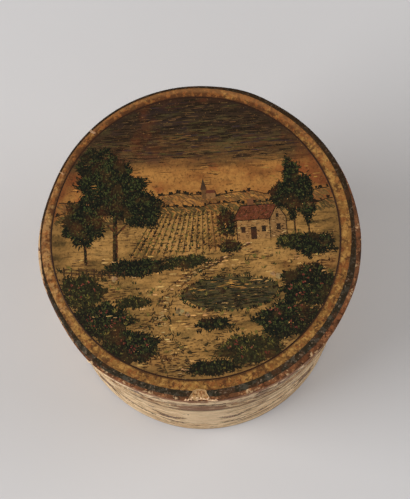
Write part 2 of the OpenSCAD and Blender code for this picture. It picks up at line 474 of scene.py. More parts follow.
def band_finish():
    """Green-black band with grey and red-brown worn flecks."""
    f, tone, grain = old_paper(
        "dark_band", rgb(46, 30, 12), rgb(38, 27, 12), rgb(26, 19, 10), 61, 0.7, VARNISH)
    front = 1 - f.step(f.y, -40, 10)
    tone = f.mix(front * 0.6, tone, rgb(38, 36, 24))
    tone = f.spots(tone, rgb(78, 72, 60), 0.1 + 0.55 * front, 2.4, 0.48, 0.62, 63, 0.7)
    tone = f.spots(tone, rgb(72, 44, 24), 0.7, 4, 0.5, 0.64, 65, 0.6, detail=3)
    fleck = f.step(f.mottle(0.9, 4, 0.75, seed=64), 0.56, 0.64)
    tone = f.mix(fleck * (0.3 + 0.3 * front), tone, rgb(146, 122, 98))
    tone = nicked(f, gritty(f, tone, 0.4, 66, rgb(24, 20, 16), rgb(112, 88, 62)))
    return f.finish(tone, 0.55 + 0.2 * fleck, grain + fleck, 0.06)


def varnished(f, tone, strength=1.0):
    """Amber varnish with stains, specks and a little darkening towards the picture's edge."""
    tone = f.mix(f.step(f.reach(PICTURE_C), 44, 52) * 0.35 * strength, tone, rgb(44, 32, 20))
    tone = f.spots(tone, rgb(124, 62, 30), 0.25 * strength, 13, 0.54, 0.7, 71, 0.6)
    tone = f.mix(f.cracks(3.4, 0.01, 0.04, 72) * 0.16, tone, rgb(40, 30, 20))
    tone = gritty(f, tone, 0.65 * strength, 73, rgb(32, 22, 12), rgb(172, 130, 74))
    return f.mix(1.0, tone, AMBER, "MULTIPLY")


def picture_finish():
    """Washes of the landscape: dark streaked sky, golden light, ochre ground with fine hatching."""
    f = Finish("picture_sheet", VARNISH)
    level = f.y - PICTURE_C[1] + (f.mottle(12, 3, 0.6, (0.5, 1.4, 1), 81) * 8 - 4)
    sky = f.ramp(f.step(level, 20, 50), [
        (0.0, rgb(128, 90, 50)), (0.16, rgb(106, 76, 43)), (0.5, rgb(76, 56, 36)), (1.0, rgb(50, 38, 28))])
    sky = f.spots(sky, rgb(34, 26, 18), 0.75, 1.5, 0.47, 0.58, 82, stretch=(0.08, 1, 1))
    sky = f.spots(sky, rgb(86, 78, 46), 0.55, 5, 0.52, 0.64, 83, 0.6, (0.25, 1, 1), 3)
    sky = f.spots(sky, rgb(48, 35, 36), 0.5, 3.6, 0.5, 0.6, 93, stretch=(0.55, 1, 1))
    sky = f.spots(sky, rgb(96, 52, 32), 0.25, 6, 0.54, 0.66, 88, 0.6, (0.3, 1, 1), 3)
    light = f.ramp(f.mottle(7, 4, 0.6, (0.6, 1.2, 1), 84), [
        (0.3, rgb(118, 74, 38)), (0.44, rgb(152, 102, 52)), (0.6, rgb(172, 122, 64))])
    outward = f.step(abs(f.x), 14, 44)
    light = f.spots(light, rgb(132, 68, 36), 0.7, 9, 0.54, 0.7, 89, 0.6, detail=3, more=outward * 0.12)
    ground = f.ramp(f.mottle(6, 4, 0.62, (0.45, 1.3, 1), 85), [
        (0.32, rgb(92, 72, 38)), (0.43, rgb(140, 105, 57)), (0.58, rgb(168, 127, 72)),
        (0.7, rgb(180, 138, 82))])
    ground = f.spots(ground, rgb(70, 62, 32), 0.5, 10, 0.52, 0.64, 86, 0.6, (0.5, 1.3, 1))
    drawn = f.step(f.mottle(9, 3, 0.6, (0.6, 1.4, 1), 90), 0.46, 0.58)
    ground = f.spots(ground, rgb(60, 44, 24), drawn * 0.5, 0.75, 0.54, 0.6, 87, 0.5, (0.16, 1, 1), 2)
    tone = f.mix(f.step(level, 7, 10), ground, light)
    tone = f.mix(f.step(level, 24, 29), tone, sky)
    grain = fibres(f, 92)
    tone = f.mix(f.step(grain, 0.4, 0.7) * 0.25, tone, rgb(56, 40, 24))
    return f.finish(varnished(f, tone), 0.5 + 0.14 * grain, grain, 0.05)


def leaf_finish():
    """Green brushed over dark engraving: each mark carries its own tint, broken up by fine leaves."""
    f = Finish("picture_leaves", VARNISH)
    lit = f.step(f.mottle(4.5, 3, 0.6, seed=101), 0.4, 0.6)
    leaf = f.step(f.mottle(0.75, 3, 0.65, (1, 0.7, 1), 102), 0.52, 0.62)
    tone = f.mix(leaf * (0.2 + 0.45 * lit), f.tint(), rgb(80, 86, 43))
    tone = f.spots(tone, rgb(12, 12, 9), 0.7, 0.9, 0.5, 0.6, 103, stretch=(0.8, 1, 1), detail=3)
    tone = f.spots(tone, rgb(84, 58, 30), 0.3, 6, 0.54, 0.66, 104, 0.6, detail=3)
    return f.finish(varnished(f, tone, 0.7), 0.5 + 0.12 * leaf)


def ink_finish(name, constants, under_varnish):
    """Printed and brushed marks: each mark carries its own tint."""
    f = Finish(name, constants)
    patchy = f.mottle(1.1, 3, 0.65, seed=91)
    tone = f.mix(f.step(patchy, 0.4, 0.7) * 0.3, f.tint(), rgb(70, 54, 34))
    if under_varnish:
        tone = varnished(f, tone, 0.8)
    return f.finish(tone, 0.45 + 0.15 * patchy)


def rule_finish():
    """Dark-brown line round the picture."""
    f, tone, grain = old_paper(
        "picture_rule", rgb(46, 28, 19), rgb(34, 22, 16), rgb(80, 50, 30), 95, 0.6, VARNISH)
    return f.finish(tone, 0.36, grain, 0.03)


def flake_finish():
    """Torn paper where the colour has come off."""
    f, tone, grain = old_paper(
        "torn_paper", rgb(234, 206, 168), rgb(204, 168, 128), rgb(152, 112, 78), 97, 0.6)
    return f.finish(tone, 0.85, grain, 0.06)


# Mesh making

def degrees_from(angle, at):
    """Degrees from a place round the box to an angle, between -180 and 180."""
    return (math.degrees(angle) - at + 180) % 360 - 180


def bumps(angle, table):
    """Sum of smooth bumps round the lid, each given by its angle, its spread and its height."""
    return sum(tall * math.exp(-(degrees_from(angle, at) / wide) ** 2) for at, wide, tall in table)


def out_of_round(bm, inside_r=0.0):
    """Gives a piece of the lid's outside the shape of the old lid, and leaves what is further in.
    The rim has stayed round on the collar, and the wall leans in towards it."""
    for v in bm.verts:
        r = math.hypot(v.co.x, v.co.y)
        if r > inside_r:
            share = min(1.0, max(0.0, (v.co.z - SHOULDER_Z) / (TOP_Z - SHOULDER_Z)))
            grown = bumps(math.atan2(v.co.y, v.co.x), BUMPS) * share * min(1.0, (r / LID_R) ** 12)
            if r > ROUND_INSIDE_R:
                grown -= RIM_DRAW * (1 - share)
            v.co.x *= 1 + grown / LID_R
            v.co.y *= (1 + grown / LID_R) * (1 + (OVAL - 1) * share)
    return bm


def new_piece(name, bm, material, body, slot, *nodes, sharp=35):
    """Turns a mesh in millimetres into a named piece that rides on a body."""
    bmesh.ops.scale(bm, vec=(MM, MM, MM), verts=bm.verts)
    mesh = bpy.data.meshes.new(name)
    bm.to_mesh(mesh)
    bm.free()
    mesh.shade_smooth()
    mesh.set_sharp_from_angle(angle=math.radians(sharp))
    mesh.materials.append(material)
    piece = bpy.data.objects.new(name, mesh)
    bpy.context.scene.collection.objects.link(piece)
    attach(piece, body)
    if nodes:
        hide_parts(*nodes)
    return piece


def spun(profile, steps=240, solid=False):
    """Sweeps a profile of (radius, height) points about the upright axis.
    A solid's profile starts and ends on the axis; a ring's closes on itself."""
    bm = bmesh.new()
    verts = [bm.verts.new((r, 0, z)) for r, z in profile]
    ends = zip(verts, verts[1:] if solid else verts[1:] + verts[:1])
    edges = [bm.edges.new(pair) for pair in ends]
    bmesh.ops.spin(bm, geom=verts + edges, cent=(0, 0, 0), axis=(0, 0, 1), dvec=(0, 0, 0),
                   angle=2 * math.pi, steps=steps, use_merge=True, use_duplicate=False)
    bmesh.ops.remove_doubles(bm, verts=bm.verts, dist=1e-4)
    bmesh.ops.recalc_face_normals(bm, faces=bm.faces)
    return bm


def stretch(start, end, parts):
    """Evenly spaced points from start to end."""
    return [tuple(a + (b - a) * i / parts for a, b in zip(start, end)) for i in range(parts + 1)]


def corner(centre_r, centre_z, radius, first, last, parts=4):
    """Points on a rounded corner of a profile, from one angle to another in degrees."""
    angles = [math.radians(first + (last - first) * i / parts) for i in range(parts + 1)]
    return [(centre_r + radius * math.cos(a), centre_z + radius * math.sin(a)) for a in angles]


def extruded(bm, height):
    """Gives a flat mesh a thickness."""
    end = bmesh.ops.extrude_face_region(bm, geom=bm.faces[:])
    moved = [part for part in end["geom"] if isinstance(part, bmesh.types.BMVert)]
    bmesh.ops.translate(bm, vec=(0, 0, height), verts=moved)


def wavy(x, y, size, seed=0.0):
    """Smooth wander between about -1 and 1."""
    return noise.noise(Vector((x / size, y / size, seed)))


def round_wander(angle, waves, seed):
    """Smooth wander round the box that closes on itself."""
    reach = waves / 2
    return noise.noise(Vector((reach * math.cos(angle), reach * math.sin(angle), seed)))


def cockle(x, y):
    """Height of the pasted picture's slow waves, in millimetres."""
    return 0.06 * wavy(x, y, 21, 1.7) + 0.02 * wavy(x, y, 7, 4.1)


def swell(angle, z, amount, seed):
    """How far a side paper stands proud of its board."""
    place = Vector((3 * math.cos(angle), 3 * math.sin(angle), z / 24 + seed))
    return amount * max(0.0, 0.5 + noise.noise(place))


def bulge(bm, out_r, amount, seed):
    """Lets the outer face of a side paper stand a little proud in places."""
    for v in bm.verts:
        r = math.hypot(v.co.x, v.co.y)
        if r > out_r - 0.05:
            grown = 1 + swell(math.atan2(v.co.y, v.co.x), v.co.z, amount, seed) / r
            v.co.x *= grown
            v.co.y *= grown


def on_side(u, v, h, radius):
    """Wraps flat paper coordinates round the box."""
    angle = u / radius
    return Vector(((radius + h) * math.cos(angle), (radius + h) * math.sin(angle), v))


def side_surface(radius, swelling):
    """Gives the function that lays flat marks on a side paper with its swellings."""
    def laid(place):
        lift = place.z + swell(place.x / radius, place.y, *swelling)
        return on_side(place.x, place.y, lift, radius)
    return laid


def merge(bm, other):
    """Adds one mesh to another."""
    mesh = bpy.data.meshes.new("merging")
    other.to_mesh(mesh)
    other.free()
    bm.from_mesh(mesh)
    bpy.data.meshes.remove(mesh)


def side_seam(bm, radius, low, high):
    """Adds the pasted overlap of a side paper: a strip bent round the box, with one loose edge."""
    strip = bmesh.new()
    bmesh.ops.create_grid(strip, x_segments=8, y_segments=30, size=0.5)
    bmesh.ops.scale(strip, vec=(SEAM_W, high - low, 1), verts=strip.verts)
    bmesh.ops.translate(strip, vec=(0, (low + high) / 2, 0), verts=strip.verts)
    extruded(strip, 0.3)
    bmesh.ops.recalc_face_normals(strip, faces=strip.faces)
    for v in strip.verts:
        drift = 0.25 * wavy(v.co.x, v.co.y, 9, 3.0) * (1 if v.co.x > 0 else 0)
        v.co = on_side(v.co.x + drift + SEAM_AT * radius, v.co.y, v.co.z, radius)
    merge(bm, strip)


def cut_away(piece, cutter_bm):
    """Cuts a loss out of a piece."""
    mesh = bpy.data.meshes.new("cutter")
    bmesh.ops.scale(cutter_bm, vec=(MM, MM, MM), verts=cutter_bm.verts)
    cutter_bm.to_mesh(mesh)
    cutter_bm.free()
    cutter = bpy.data.objects.new("cutter", mesh)
    bpy.context.scene.collection.objects.link(cutter)
    boolean = piece.modifiers.new("loss", "BOOLEAN")
    boolean.operation = "DIFFERENCE"
    boolean.solver = "EXACT"
    boolean.object = cutter
    cut = bpy.data.meshes.new_from_object(piece.evaluated_get(bpy.context.evaluated_depsgraph_get()))
    piece.modifiers.clear()
    old, piece.data = piece.data, cut
    cut.name = old.name + "_cut"
    bpy.data.meshes.remove(old)
    bpy.data.objects.remove(cutter)
    bpy.data.meshes.remove(mesh)


# Marks: thousands of small strokes, leaves and dabs, each a low closed form with its own tint

QUARTER = Matrix.Rotation(math.pi / 2, 4, "Z")
BATCH = 300


def tinted_mesh():
    """An empty mesh whose points carry a tint, and the layer that holds it."""
    bm = bmesh.new()
    return bm, bm.verts.layers.float_color.new("tint")


class Marks:
    """Strokes, dabs and washes on paper, kept inside a round picture if a limit is given.
    Washes are cut up at a pitch in millimetres, finer on the round sides, so that they follow the paper."""

    def __init__(self, seed, limit=None):
        self.draw = random.Random(seed)
        self.limit = limit
        self.pitch = 1.0 if limit is None else 3.0
        self.kept = []
        self.washes = []

    def tinted(self, colour, spread):
        value = 1 + self.draw.uniform(-spread, spread)
        parts = [part * value * (1 + self.draw.uniform(-0.3, 0.3) * spread) for part in colour[:3]]
        return (*(min(1.0, part) for part in parts), 1.0)

    def add(self, u, v, turn, length, width, top, colour, spread, sides, flat):
        """top is the height of the mark over the paper, in hundredths of a millimetre."""
        if self.limit is not None:
            du, dv = math.cos(turn) * length / 2, math.sin(turn) * length / 2
            if max(math.hypot(u + du, v + dv), math.hypot(u - du, v - dv)) > self.limit:
                return
        top += self.draw.uniform(0, 0.5)
        self.kept.append((u, v, turn, length, width, top / 100, self.tinted(colour, spread), sides, flat))

    def stroke(self, u, v, turn, length, width, top, colour, spread=0.25):
        """A line of even width with pointed ends."""
        self.add(u, v, turn, length, width * 1.15, top, colour, spread, 6, 0.85)

    def leaf(self, u, v, turn, length, width, top, colour, spread=0.25):
        """A mark that tapers from its middle to both ends."""
        self.add(u, v, turn, length, width, top, colour, spread, 4, 0.7)

    def dab(self, u, v, size, top, colour, spread=0.25, squash=0.7):
        self.add(u, v, self.draw.uniform(0, math.pi), size, size * squash, top, colour, spread, 6, 0.8)

    def wash(self, outline, top, colour, spread=0.1):
        """A flat patch of colour with a given outline."""
        if self.limit is not None:
            outline = [tuple(Vector(spot) * min(1.0, self.limit / math.hypot(*spot))) for spot in outline]
        self.washes.append((outline, (top + self.draw.uniform(0, 0.5)) / 100, self.tinted(colour, spread)))

    def made(self, surface, sunk=0.04):
        """All the marks as one mesh, laid on a surface."""
        whole, _ = tinted_mesh()
        for first in range(0, len(self.kept), BATCH):
            merge(whole, self.made_marks(self.kept[first:first + BATCH], surface, sunk))
        for wash in self.washes:
            merge(whole, self.made_wash(*wash, surface, sunk))
        return whole

    def made_marks(self, marks, surface, sunk):
        part, tint = tinted_mesh()
        for u, v, turn, length, width, top, colour, sides, flat in marks:
            place = (Matrix.Translation((u, v, (top - sunk) / 2)) @ Matrix.Rotation(turn, 4, "Z")
                     @ Matrix.Diagonal((length / 2, width / 2, top + sunk, 1)) @ QUARTER)
            cone = bmesh.ops.create_cone(part, cap_ends=True, segments=sides, radius1=1, radius2=flat,
                                         depth=1, matrix=place)
            for vert in cone["verts"]:
                vert[tint] = colour
        for vert in part.verts:
            vert.co = surface(vert.co)
        return part

    def made_wash(self, outline, top, colour, surface, sunk):
        part, tint = tinted_mesh()
        part.faces.new([part.verts.new((u, v, -sunk)) for u, v in outline])
        for axis, pitch in ((0, self.pitch), (1, 4 * self.pitch)):
            reach = [spot[axis] / pitch for spot in outline]
            across = Vector((1 - axis, axis, 0))
            for cut in range(math.ceil(min(reach)), math.ceil(max(reach))):
                bmesh.ops.bisect_plane(part, geom=part.verts[:] + part.edges[:] + part.faces[:],
                                       plane_co=across * cut * pitch, plane_no=across, dist=1e-4)
        extruded(part, sunk + top)
        bmesh.ops.triangulate(part, faces=[face for face in part.faces if len(face.verts) > 4])
        bmesh.ops.recalc_face_normals(part, faces=part.faces)
        for vert in part.verts:
            vert[tint] = colour
            vert.co = surface(vert.co)
        return part


# Camera, light and floor

def set_camera():
    """Camera at the photograph's angle, from a fit of the lid's and the base's outlines."""
    focal, high = 1311.0, 499
    off_right, off_down = 5.5, 9.9
    rise, roll, far = math.radians(76.38), math.radians(-4.06), 8.157 * LID_R
    back = Vector((0, -math.cos(rise), math.sin(rise)))
    flat_right = Vector((1, 0, 0))
    flat_up = back.cross(flat_right)
    right = math.cos(roll) * flat_right + math.sin(roll) * flat_up
    up = -math.sin(roll) * flat_right + math.cos(roll) * flat_up
    place = Vector((0, 0, 115)) + back * far
    aim = -back * focal + right * off_right - up * off_down
    back = -aim.normalized()
    right = up.cross(back).normalized()
    up = back.cross(right)
    data = bpy.data.cameras.new("camera")
    data.sensor_fit = "VERTICAL"
    data.sensor_height = 36
    data.lens = focal / high * data.sensor_height
    data.clip_start = 0.01
    camera = bpy.data.objects.new("camera", data)
    turned = Matrix((right, up, back)).transposed().to_4x4()
    camera.matrix_world = Matrix.Translation(place * MM) @ turned
    bpy.context.scene.collection.objects.link(camera)
    bpy.context.scene.camera = camera


def add_lamp(name, place, target, size, power):
    data = bpy.data.lights.new(name, "AREA")
    data.shape = "DISK"
    data.size = size
    data.energy = power
    lamp = bpy.data.objects.new(name, data)
    lamp.location = place
    lamp.rotation_euler = (Vector(target) - Vector(place)).to_track_quat("-Z", "Y").to_euler()
    bpy.context.scene.collection.objects.link(lamp)


def set_world():
    """Even light all round, stronger from the front and the left."""
    world = bpy.data.worlds.new("studio")
    bpy.context.scene.world = world
    world.use_nodes = True
    sky = Nodes(world.node_tree)
    way = sky.node("TexCoord").outputs["Generated"]
    slant = sky.node("VectorMath", {"operation": "DOT_PRODUCT"}, {0: way, 1: (-0.09, -0.08, 0.0)})
    background = sky.tree.nodes["Background"]
    sky.feed(background.inputs["Strength"], Value(sky, slant.outputs["Value"]) + 0.37)
    sky.feed(background.inputs["Color"], (1.0, 1.0, 1.0, 1.0))


def set_stage():
    """Pale plain floor and soft light from both sides, stronger from the left."""
    bm = bmesh.new()
    bmesh.ops.create_grid(bm, x_segments=1, y_segments=1, size=4)
    mesh = bpy.data.meshes.new("floor")
    bm.to_mesh(mesh)
    bm.free()
    f = Finish("floor", DRY)
    shade = f.mottle(60, 3, 0.5, seed=2)
    mesh.materials.append(f.finish(f.mix(shade, rgb(204, 202, 202), rgb(206, 204, 204)), 0.9))
    floor = bpy.data.objects.new("floor", mesh)
    bpy.context.scene.collection.objects.link(floor)
    set_world()
    add_lamp("window", (-1.0, -0.15, 0.85), (0, 0, 0.06), 0.9, 12.8)
    add_lamp("far_window", (1.0, 0.05, 0.85), (0, 0, 0.06), 0.9, 6)
    bpy.context.scene.view_settings.view_transform = "Standard"


set_camera()
set_stage()

lining = lining_finish()
board = board_finish()
torn = flake_finish()
for node in ("base_board", "body_wall", "collar"):
    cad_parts[node].data.materials.clear()
    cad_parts[node].data.materials.append(board)

# Inside of the box, and its base

floor_profile = (stretch((0, LINING_Z), (COLLAR_BORE_R - 0.4, LINING_Z), 12)
                 + [(COLLAR_BORE_R, FLOOR_Z + 0.1), (COLLAR_BORE_R, FLOOR_Z), (0, FLOOR_Z)])
new_piece("floor_lining_sheet", spun(floor_profile, 160, True), lining, "box", "lining_paper", "floor_lining")

wall_profile = (stretch((INSIDE_R, LINING_Z), (INSIDE_R, NECK_FOLD_Z), 24)
                + [(COLLAR_BORE_R, NECK_FOLD_Z), (COLLAR_BORE_R, LINING_Z)])
new_piece("wall_lining_sheet", spun(wall_profile, 160), lining, "box", "lining_paper", "wall_lining")

neck_profile = (stretch((NECK_R, SHOULDER_Z + 0.05), (NECK_R, COLLAR_TOP_Z - 0.3), 12)
                + corner(NECK_R - 0.4, COLLAR_TOP_Z - 0.2, 0.4, 20, 90)
                + corner(INSIDE_R + 0.4, COLLAR_TOP_Z - 0.2, 0.4, 90, 160)
                + stretch((INSIDE_R, COLLAR_TOP_Z - 0.3), (INSIDE_R, NECK_FOLD_Z), 4)
                + [(COLLAR_BORE_R, NECK_FOLD_Z), (COLLAR_BORE_R, COLLAR_TOP_Z), (COLLAR_R, COLLAR_TOP_Z),
                   (COLLAR_R, SHOULDER_Z + 0.05)])
new_piece("neck_paper", spun(neck_profile, 200), neck_finish(), "box", "lining_paper", "neck_binding")

base_profile = [(0, WALL_Z), (TURN_IN_R, WALL_Z), (TURN_IN_R, WRAP_Z), (BASE_PAPER_R, WRAP_Z),
                (BASE_PAPER_R, 0.1), (BASE_PAPER_R - 0.1, 0), (TURN_IN_R - 0.2, 0), (TURN_IN_R - 0.5, WRAP_Z),
                (0, WRAP_Z)]
new_piece("base_sheet", spun(base_profile, 160, True), base_finish(), "box", "plain_paper", "base_paper")

# Side paper of the body

bm = spun(stretch((BODY_R, 1.0), (BODY_R, SHOULDER_Z - 0.02), 36)
          + [(BODY_WALL_R, SHOULDER_Z - 0.02), (BODY_WALL_R, WALL_Z), (TURN_IN_R, WALL_Z),
             (TURN_IN_R, WRAP_Z)]
          + corner(BODY_R - 0.7, 1.0, 0.7, -90, -10), 320)
bulge(bm, BODY_R, *BODY_SWELL)
side_seam(bm, BODY_R, WALL_Z + 0.4, SHOULDER_Z - 0.1)
body_side = side_paper_finish("body_side_paper", WRAP_Z, SHOULDER_Z, 11, BODY_RULES, stained)
new_piece("body_side_paper", bm, body_side, "box", "printed_paper", "body_wrap")

# Boards of the lid

bm = spun(stretch((LID_WALL_R, SHOULDER_Z + 0.3), (LID_WALL_R, LID_BOARD_Z), 8)
          + [(LID_BORE_R, LID_BOARD_Z), (LID_BORE_R, SHOULDER_Z + 0.3)], 240)
new_piece("lid_wall_board", out_of_round(bm, ROUND_INSIDE_R), board, "lid", "board", "lid_wall")

bm = spun([(0, LID_BOARD_Z), (LID_WALL_R, LID_BOARD_Z)]
          + corner(LID_WALL_R - 0.5, BOARD_TOP_Z - 0.5, 0.5, 0, 90)
          + [(50, BOARD_TOP_Z), (0, BOARD_TOP_Z)], 240, True)
new_piece("lid_top_board", out_of_round(bm, ROUND_INSIDE_R), board, "lid", "board", "lid_board")

# Side paper, rim and linings of the lid

bm = spun(stretch((LID_SIDE_R, RIM_TOP_Z), (LID_SIDE_R, LID_SIDE_TOP_Z), 24)
          + [(LID_SIDE_R - 0.1, LID_SIDE_TOP_Z + 0.2), (LID_WALL_R - 0.1, LID_SIDE_TOP_Z + 0.1),
             (LID_WALL_R - 0.1, RIM_TOP_Z)], 320)
bulge(bm, LID_SIDE_R, *LID_SWELL)
side_seam(bm, LID_SIDE_R, RIM_TOP_Z, LID_SIDE_TOP_Z - 0.2)
lid_side = side_paper_finish("lid_side_paper", RIM_TOP_Z - 2, TOP_Z, 21, LID_RULES, blotched)
new_piece("lid_side_paper", out_of_round(bm), lid_side, "lid", "printed_paper", "lid_wrap")

bm = spun([(LID_R - 0.05, SHOULDER_Z + 1), (COVER_R, SHOULDER_Z + 3), (COVER_R, SHOULDER_Z + 9),
           (COVER_R, RIM_TOP_Z), (LID_R + 0.04, RIM_LAP_Z), (LID_SIDE_R - 0.02, RIM_LAP_Z),
           (LID_SIDE_R - 0.02, RIM_TOP_Z), (LID_WALL_R, RIM_TOP_Z), (LID_WALL_R, SHOULDER_Z + 0.3),
           (LID_BORE_R, SHOULDER_Z + 0.3), (LID_BORE_R, RIM_FOLD_Z), (LID_CLEAR_R, RIM_FOLD_Z),
           (LID_CLEAR_R, SHOULDER_Z + 0.4)]
          + corner(LID_CLEAR_R + 0.4, SHOULDER_Z + 0.4, 0.4, 190, 265)
          + corner(LID_R - 0.4, SHOULDER_Z + 0.4, 0.4, 275, 340), 480)
for v in bm.verts:
    if v.co.z > RIM_TOP_Z + 0.5:
        angle = math.atan2(v.co.y, v.co.x)
        v.co.z += 0.5 * round_wander(angle, 9, 3.0) + 0.25 * round_wander(angle, 60, 5.0)
new_piece("rim_paper", out_of_round(bm, ROUND_INSIDE_R), rim_finish(), "lid", "rose_paper", "rim_binding")

lid_wall_profile = (stretch((LID_CLEAR_R, RIM_FOLD_Z), (LID_CLEAR_R, LID_LINING_Z), 12)
                    + [(LID_BORE_R, LID_LINING_Z), (LID_BORE_R, RIM_FOLD_Z)])
lid_wall = spun(lid_wall_profile, 200)
new_piece("lid_wall_lining_sheet", lid_wall, lining, "lid", "lining_paper", "lid_wall_lining")

lid_top_profile = ([(0, LID_BOARD_Z), (LID_BORE_R, LID_BOARD_Z), (LID_BORE_R, LID_LINING_Z)]
                   + stretch((LID_BORE_R - 0.3, LID_LINING_Z), (0, LID_LINING_Z), 12))
new_piece("lid_lining_sheet", spun(lid_top_profile, 160, True), lining, "lid", "lining_paper", "lid_lining")


# Papers on the top of the lid, with the chip at the front

def chip_outline(spread):
    """Arch of the chip, from one foot round its crown to the other: out along the radius, and across it."""
    points = [(3.7 + spread, -4.1 - spread), (2.2, -3.2 - spread)]
    for i in range(11):
        angle = math.pi * i / 10
        points.append((1.0 - (1.0 + spread) * math.sin(angle) ** 0.7, -(2.4 + spread) * math.cos(angle)))
    points += [(2.2, 3.0 + spread), (3.7 + spread, 4.0 + spread)]
    return [(along + 0.16 * wavy(along, across, 0.9, 2.0), across + 0.16 * wavy(along, across, 0.9, 5.0))
            for along, across in points]


def at_chip(along, across, z):
    """A place at the chip, on the lid."""
    return Matrix.Rotation(CHIP_AT, 3, "Z") @ Vector((CHIP_START_R + along, across, z))


def chipped(piece, spread):
    """Cuts the chip out of a paper, a little wider or narrower by spread."""
    bm = bmesh.new()
    bm.faces.new([bm.verts.new(at_chip(*spot, BOARD_TOP_Z - 1.2)) for spot in chip_outline(spread)])
    extruded(bm, 4)
    bmesh.ops.recalc_face_normals(bm, faces=bm.faces)
    cut_away(piece, out_of_round(bm))


bm = spun([(0, PICTURE_Z), (30, PICTURE_Z), (54, PICTURE_Z)]
          + corner(LID_FLAT_R, PICTURE_Z - EDGE_ROUND, EDGE_ROUND, 90, 10, 6)
          + [(COVER_R, COVER_BEND_Z), (COVER_R, COVER_FOOT_Z), (LID_SIDE_R + 0.02, COVER_FOOT_Z),
             (LID_SIDE_R + 0.02, LID_SIDE_TOP_Z - 0.2), (LID_WALL_R - 0.3, BOARD_TOP_Z - 0.2),
             (LID_FLAT_R - 0.2, BOARD_TOP_Z + 0.02), (0, BOARD_TOP_Z + 0.02)], 720, True)
for v in bm.verts:
    if v.co.z < COVER_BEND_Z - 0.6:
        angle = math.atan2(v.co.y, v.co.x)
        v.co.z += (2.2 * round_wander(angle, 11, 1.0) + 1.4 * round_wander(angle, 34, 2.0)
                   + 0.6 * round_wander(angle, 120, 3.0))
chipped(new_piece("cover_paper", out_of_round(bm), cover_finish(), "lid", "brown_paper", "lid_cover"), -0.1)


def outward(angle):
    return Vector((math.cos(angle), math.sin(angle)))


def picture_edge(angle, rag):
    return Vector(PICTURE_C) + outward(angle) * (PICTURE_R + rag)


def ring_edge(angle, rag):
    edge = Vector(RING_C) + outward(angle) * (RING_R + bumps(angle, RING_WANDER) + rag)
    return edge * min(1.0, (LID_R - 1.0 + rag) / edge.length)


def band_edge(angle, rag):
    return outward(angle) * min(LID_R - 0.06, LID_R - bumps(angle, MARGINS) + 1.5 * rag)


# Section of a pasted ring: 1 at its inner edge, 2 at its outer edge
RING_PROFILE = ([(1, PICTURE_Z - 0.1), (1, TOP_Z - 0.08), (1.08, TOP_Z - 0.04)]
                + stretch((1.2, TOP_Z - 0.03), (1.8, TOP_Z - 0.03), 4)
                + [(1.92, TOP_Z - 0.06), (2, TOP_Z - 0.14), (2, PICTURE_Z - 0.1), (1.5, PICTURE_Z - 0.1)])


def pasted_ring(inner_edge, outer_edge, seed):
    """A ring of paper between two edges off the lid's centre, bent down over the lid's rounding."""
    bm = spun(RING_PROFILE, 480)
    for v in bm.verts:
        share = math.hypot(v.co.x, v.co.y) - 1
        angle = math.atan2(v.co.y, v.co.x)
        rag = 0.12 * round_wander(angle, 24, seed) + 0.08 * round_wander(angle, 110, seed + 3)
        flat = inner_edge(angle, 0.4 * rag).lerp(outer_edge(angle, rag), share)
        over = min(flat.length - LID_FLAT_R, EDGE_ROUND)
        if over > 0:
            v.co.z -= EDGE_ROUND - math.sqrt(EDGE_ROUND ** 2 - over ** 2)
        v.co.x, v.co.y = flat
    return out_of_round(bm)


ring = pasted_ring(picture_edge, ring_edge, 2.0)
chipped(new_piece("ochre_ring", ring, ring_finish(), "lid", "ochre_paper", "lid_ring"), 0.0)
band = pasted_ring(ring_edge, band_edge, 6.0)
chipped(new_piece("dark_band", band, band_finish(), "lid", "dark_paper", "lid_band"), 0.05)

bm = spun(stretch((0, TOP_Z), (PICTURE_R - 0.8, TOP_Z), 34)
          + [(PICTURE_R - 0.4, TOP_Z - 0.03), (PICTURE_R, TOP_Z - 0.1), (PICTURE_R, PICTURE_Z),
             (0, PICTURE_Z)], 240, True)
for v in bm.verts:
    if v.co.z > TOP_Z - 0.05:
        v.co.z += cockle(v.co.x, v.co.y)
bmesh.ops.translate(bm, vec=(*PICTURE_C, 0), verts=bm.verts)
new_piece("picture_sheet", out_of_round(bm), picture_finish(), "lid", "picture_paper", "lid_print")

bm = spun([(RULE_R - 0.26, TOP_Z - 0.15), (RULE_R - 0.26, TOP_Z), (RULE_R - 0.14, TOP_Z + 0.06),
           (RULE_R + 0.14, TOP_Z + 0.06), (RULE_R + 0.26, TOP_Z), (RULE_R + 0.26, TOP_Z - 0.15)], 360)
bmesh.ops.translate(bm, vec=(*PICTURE_C, 0), verts=bm.verts)
new_piece("picture_rule", out_of_round(bm), rule_finish(), "lid", "picture_paper")

# Colours of the marks. Leaves have three tones, from dark to light

DARK_INK = rgb(30, 22, 14)
BROWN_INK = rgb(72, 48, 28)
OLIVE_INK = rgb(70, 62, 34)
RUSSET_INK = rgb(92, 50, 30)
VIOLET_INK = rgb(50, 37, 39)
CLOUD_INK = rgb(98, 72, 42)
SHADE_INK = rgb(40, 30, 22)
TRUNK = rgb(58, 40, 24)
GOLD = rgb(172, 126, 66)
STRAW = rgb(190, 150, 92)
CHAFF = rgb(198, 164, 110)
SAND = rgb(150, 114, 64)
ROSE = rgb(104, 46, 38)
PINK = rgb(124, 70, 54)
ROOF = rgb(104, 58, 36)
TILE = rgb(92, 46, 30)
WALL = rgb(160, 122, 72)
WATER = rgb(80, 70, 42)
STONE = rgb(150, 122, 84)
GREEN = (rgb(15, 18, 12), rgb(32, 39, 22), rgb(60, 68, 35))
OLD_GREEN = (rgb(36, 34, 18), rgb(58, 56, 26), rgb(106, 96, 46))
SLATE = (rgb(82, 62, 48), rgb(112, 88, 70), rgb(152, 130, 106))
SAGE = (rgb(88, 70, 42), rgb(118, 96, 60), rgb(154, 134, 90))
SIENNA = (rgb(112, 78, 56), rgb(146, 104, 74), rgb(178, 136, 98))
UMBER = rgb(78, 52, 32)
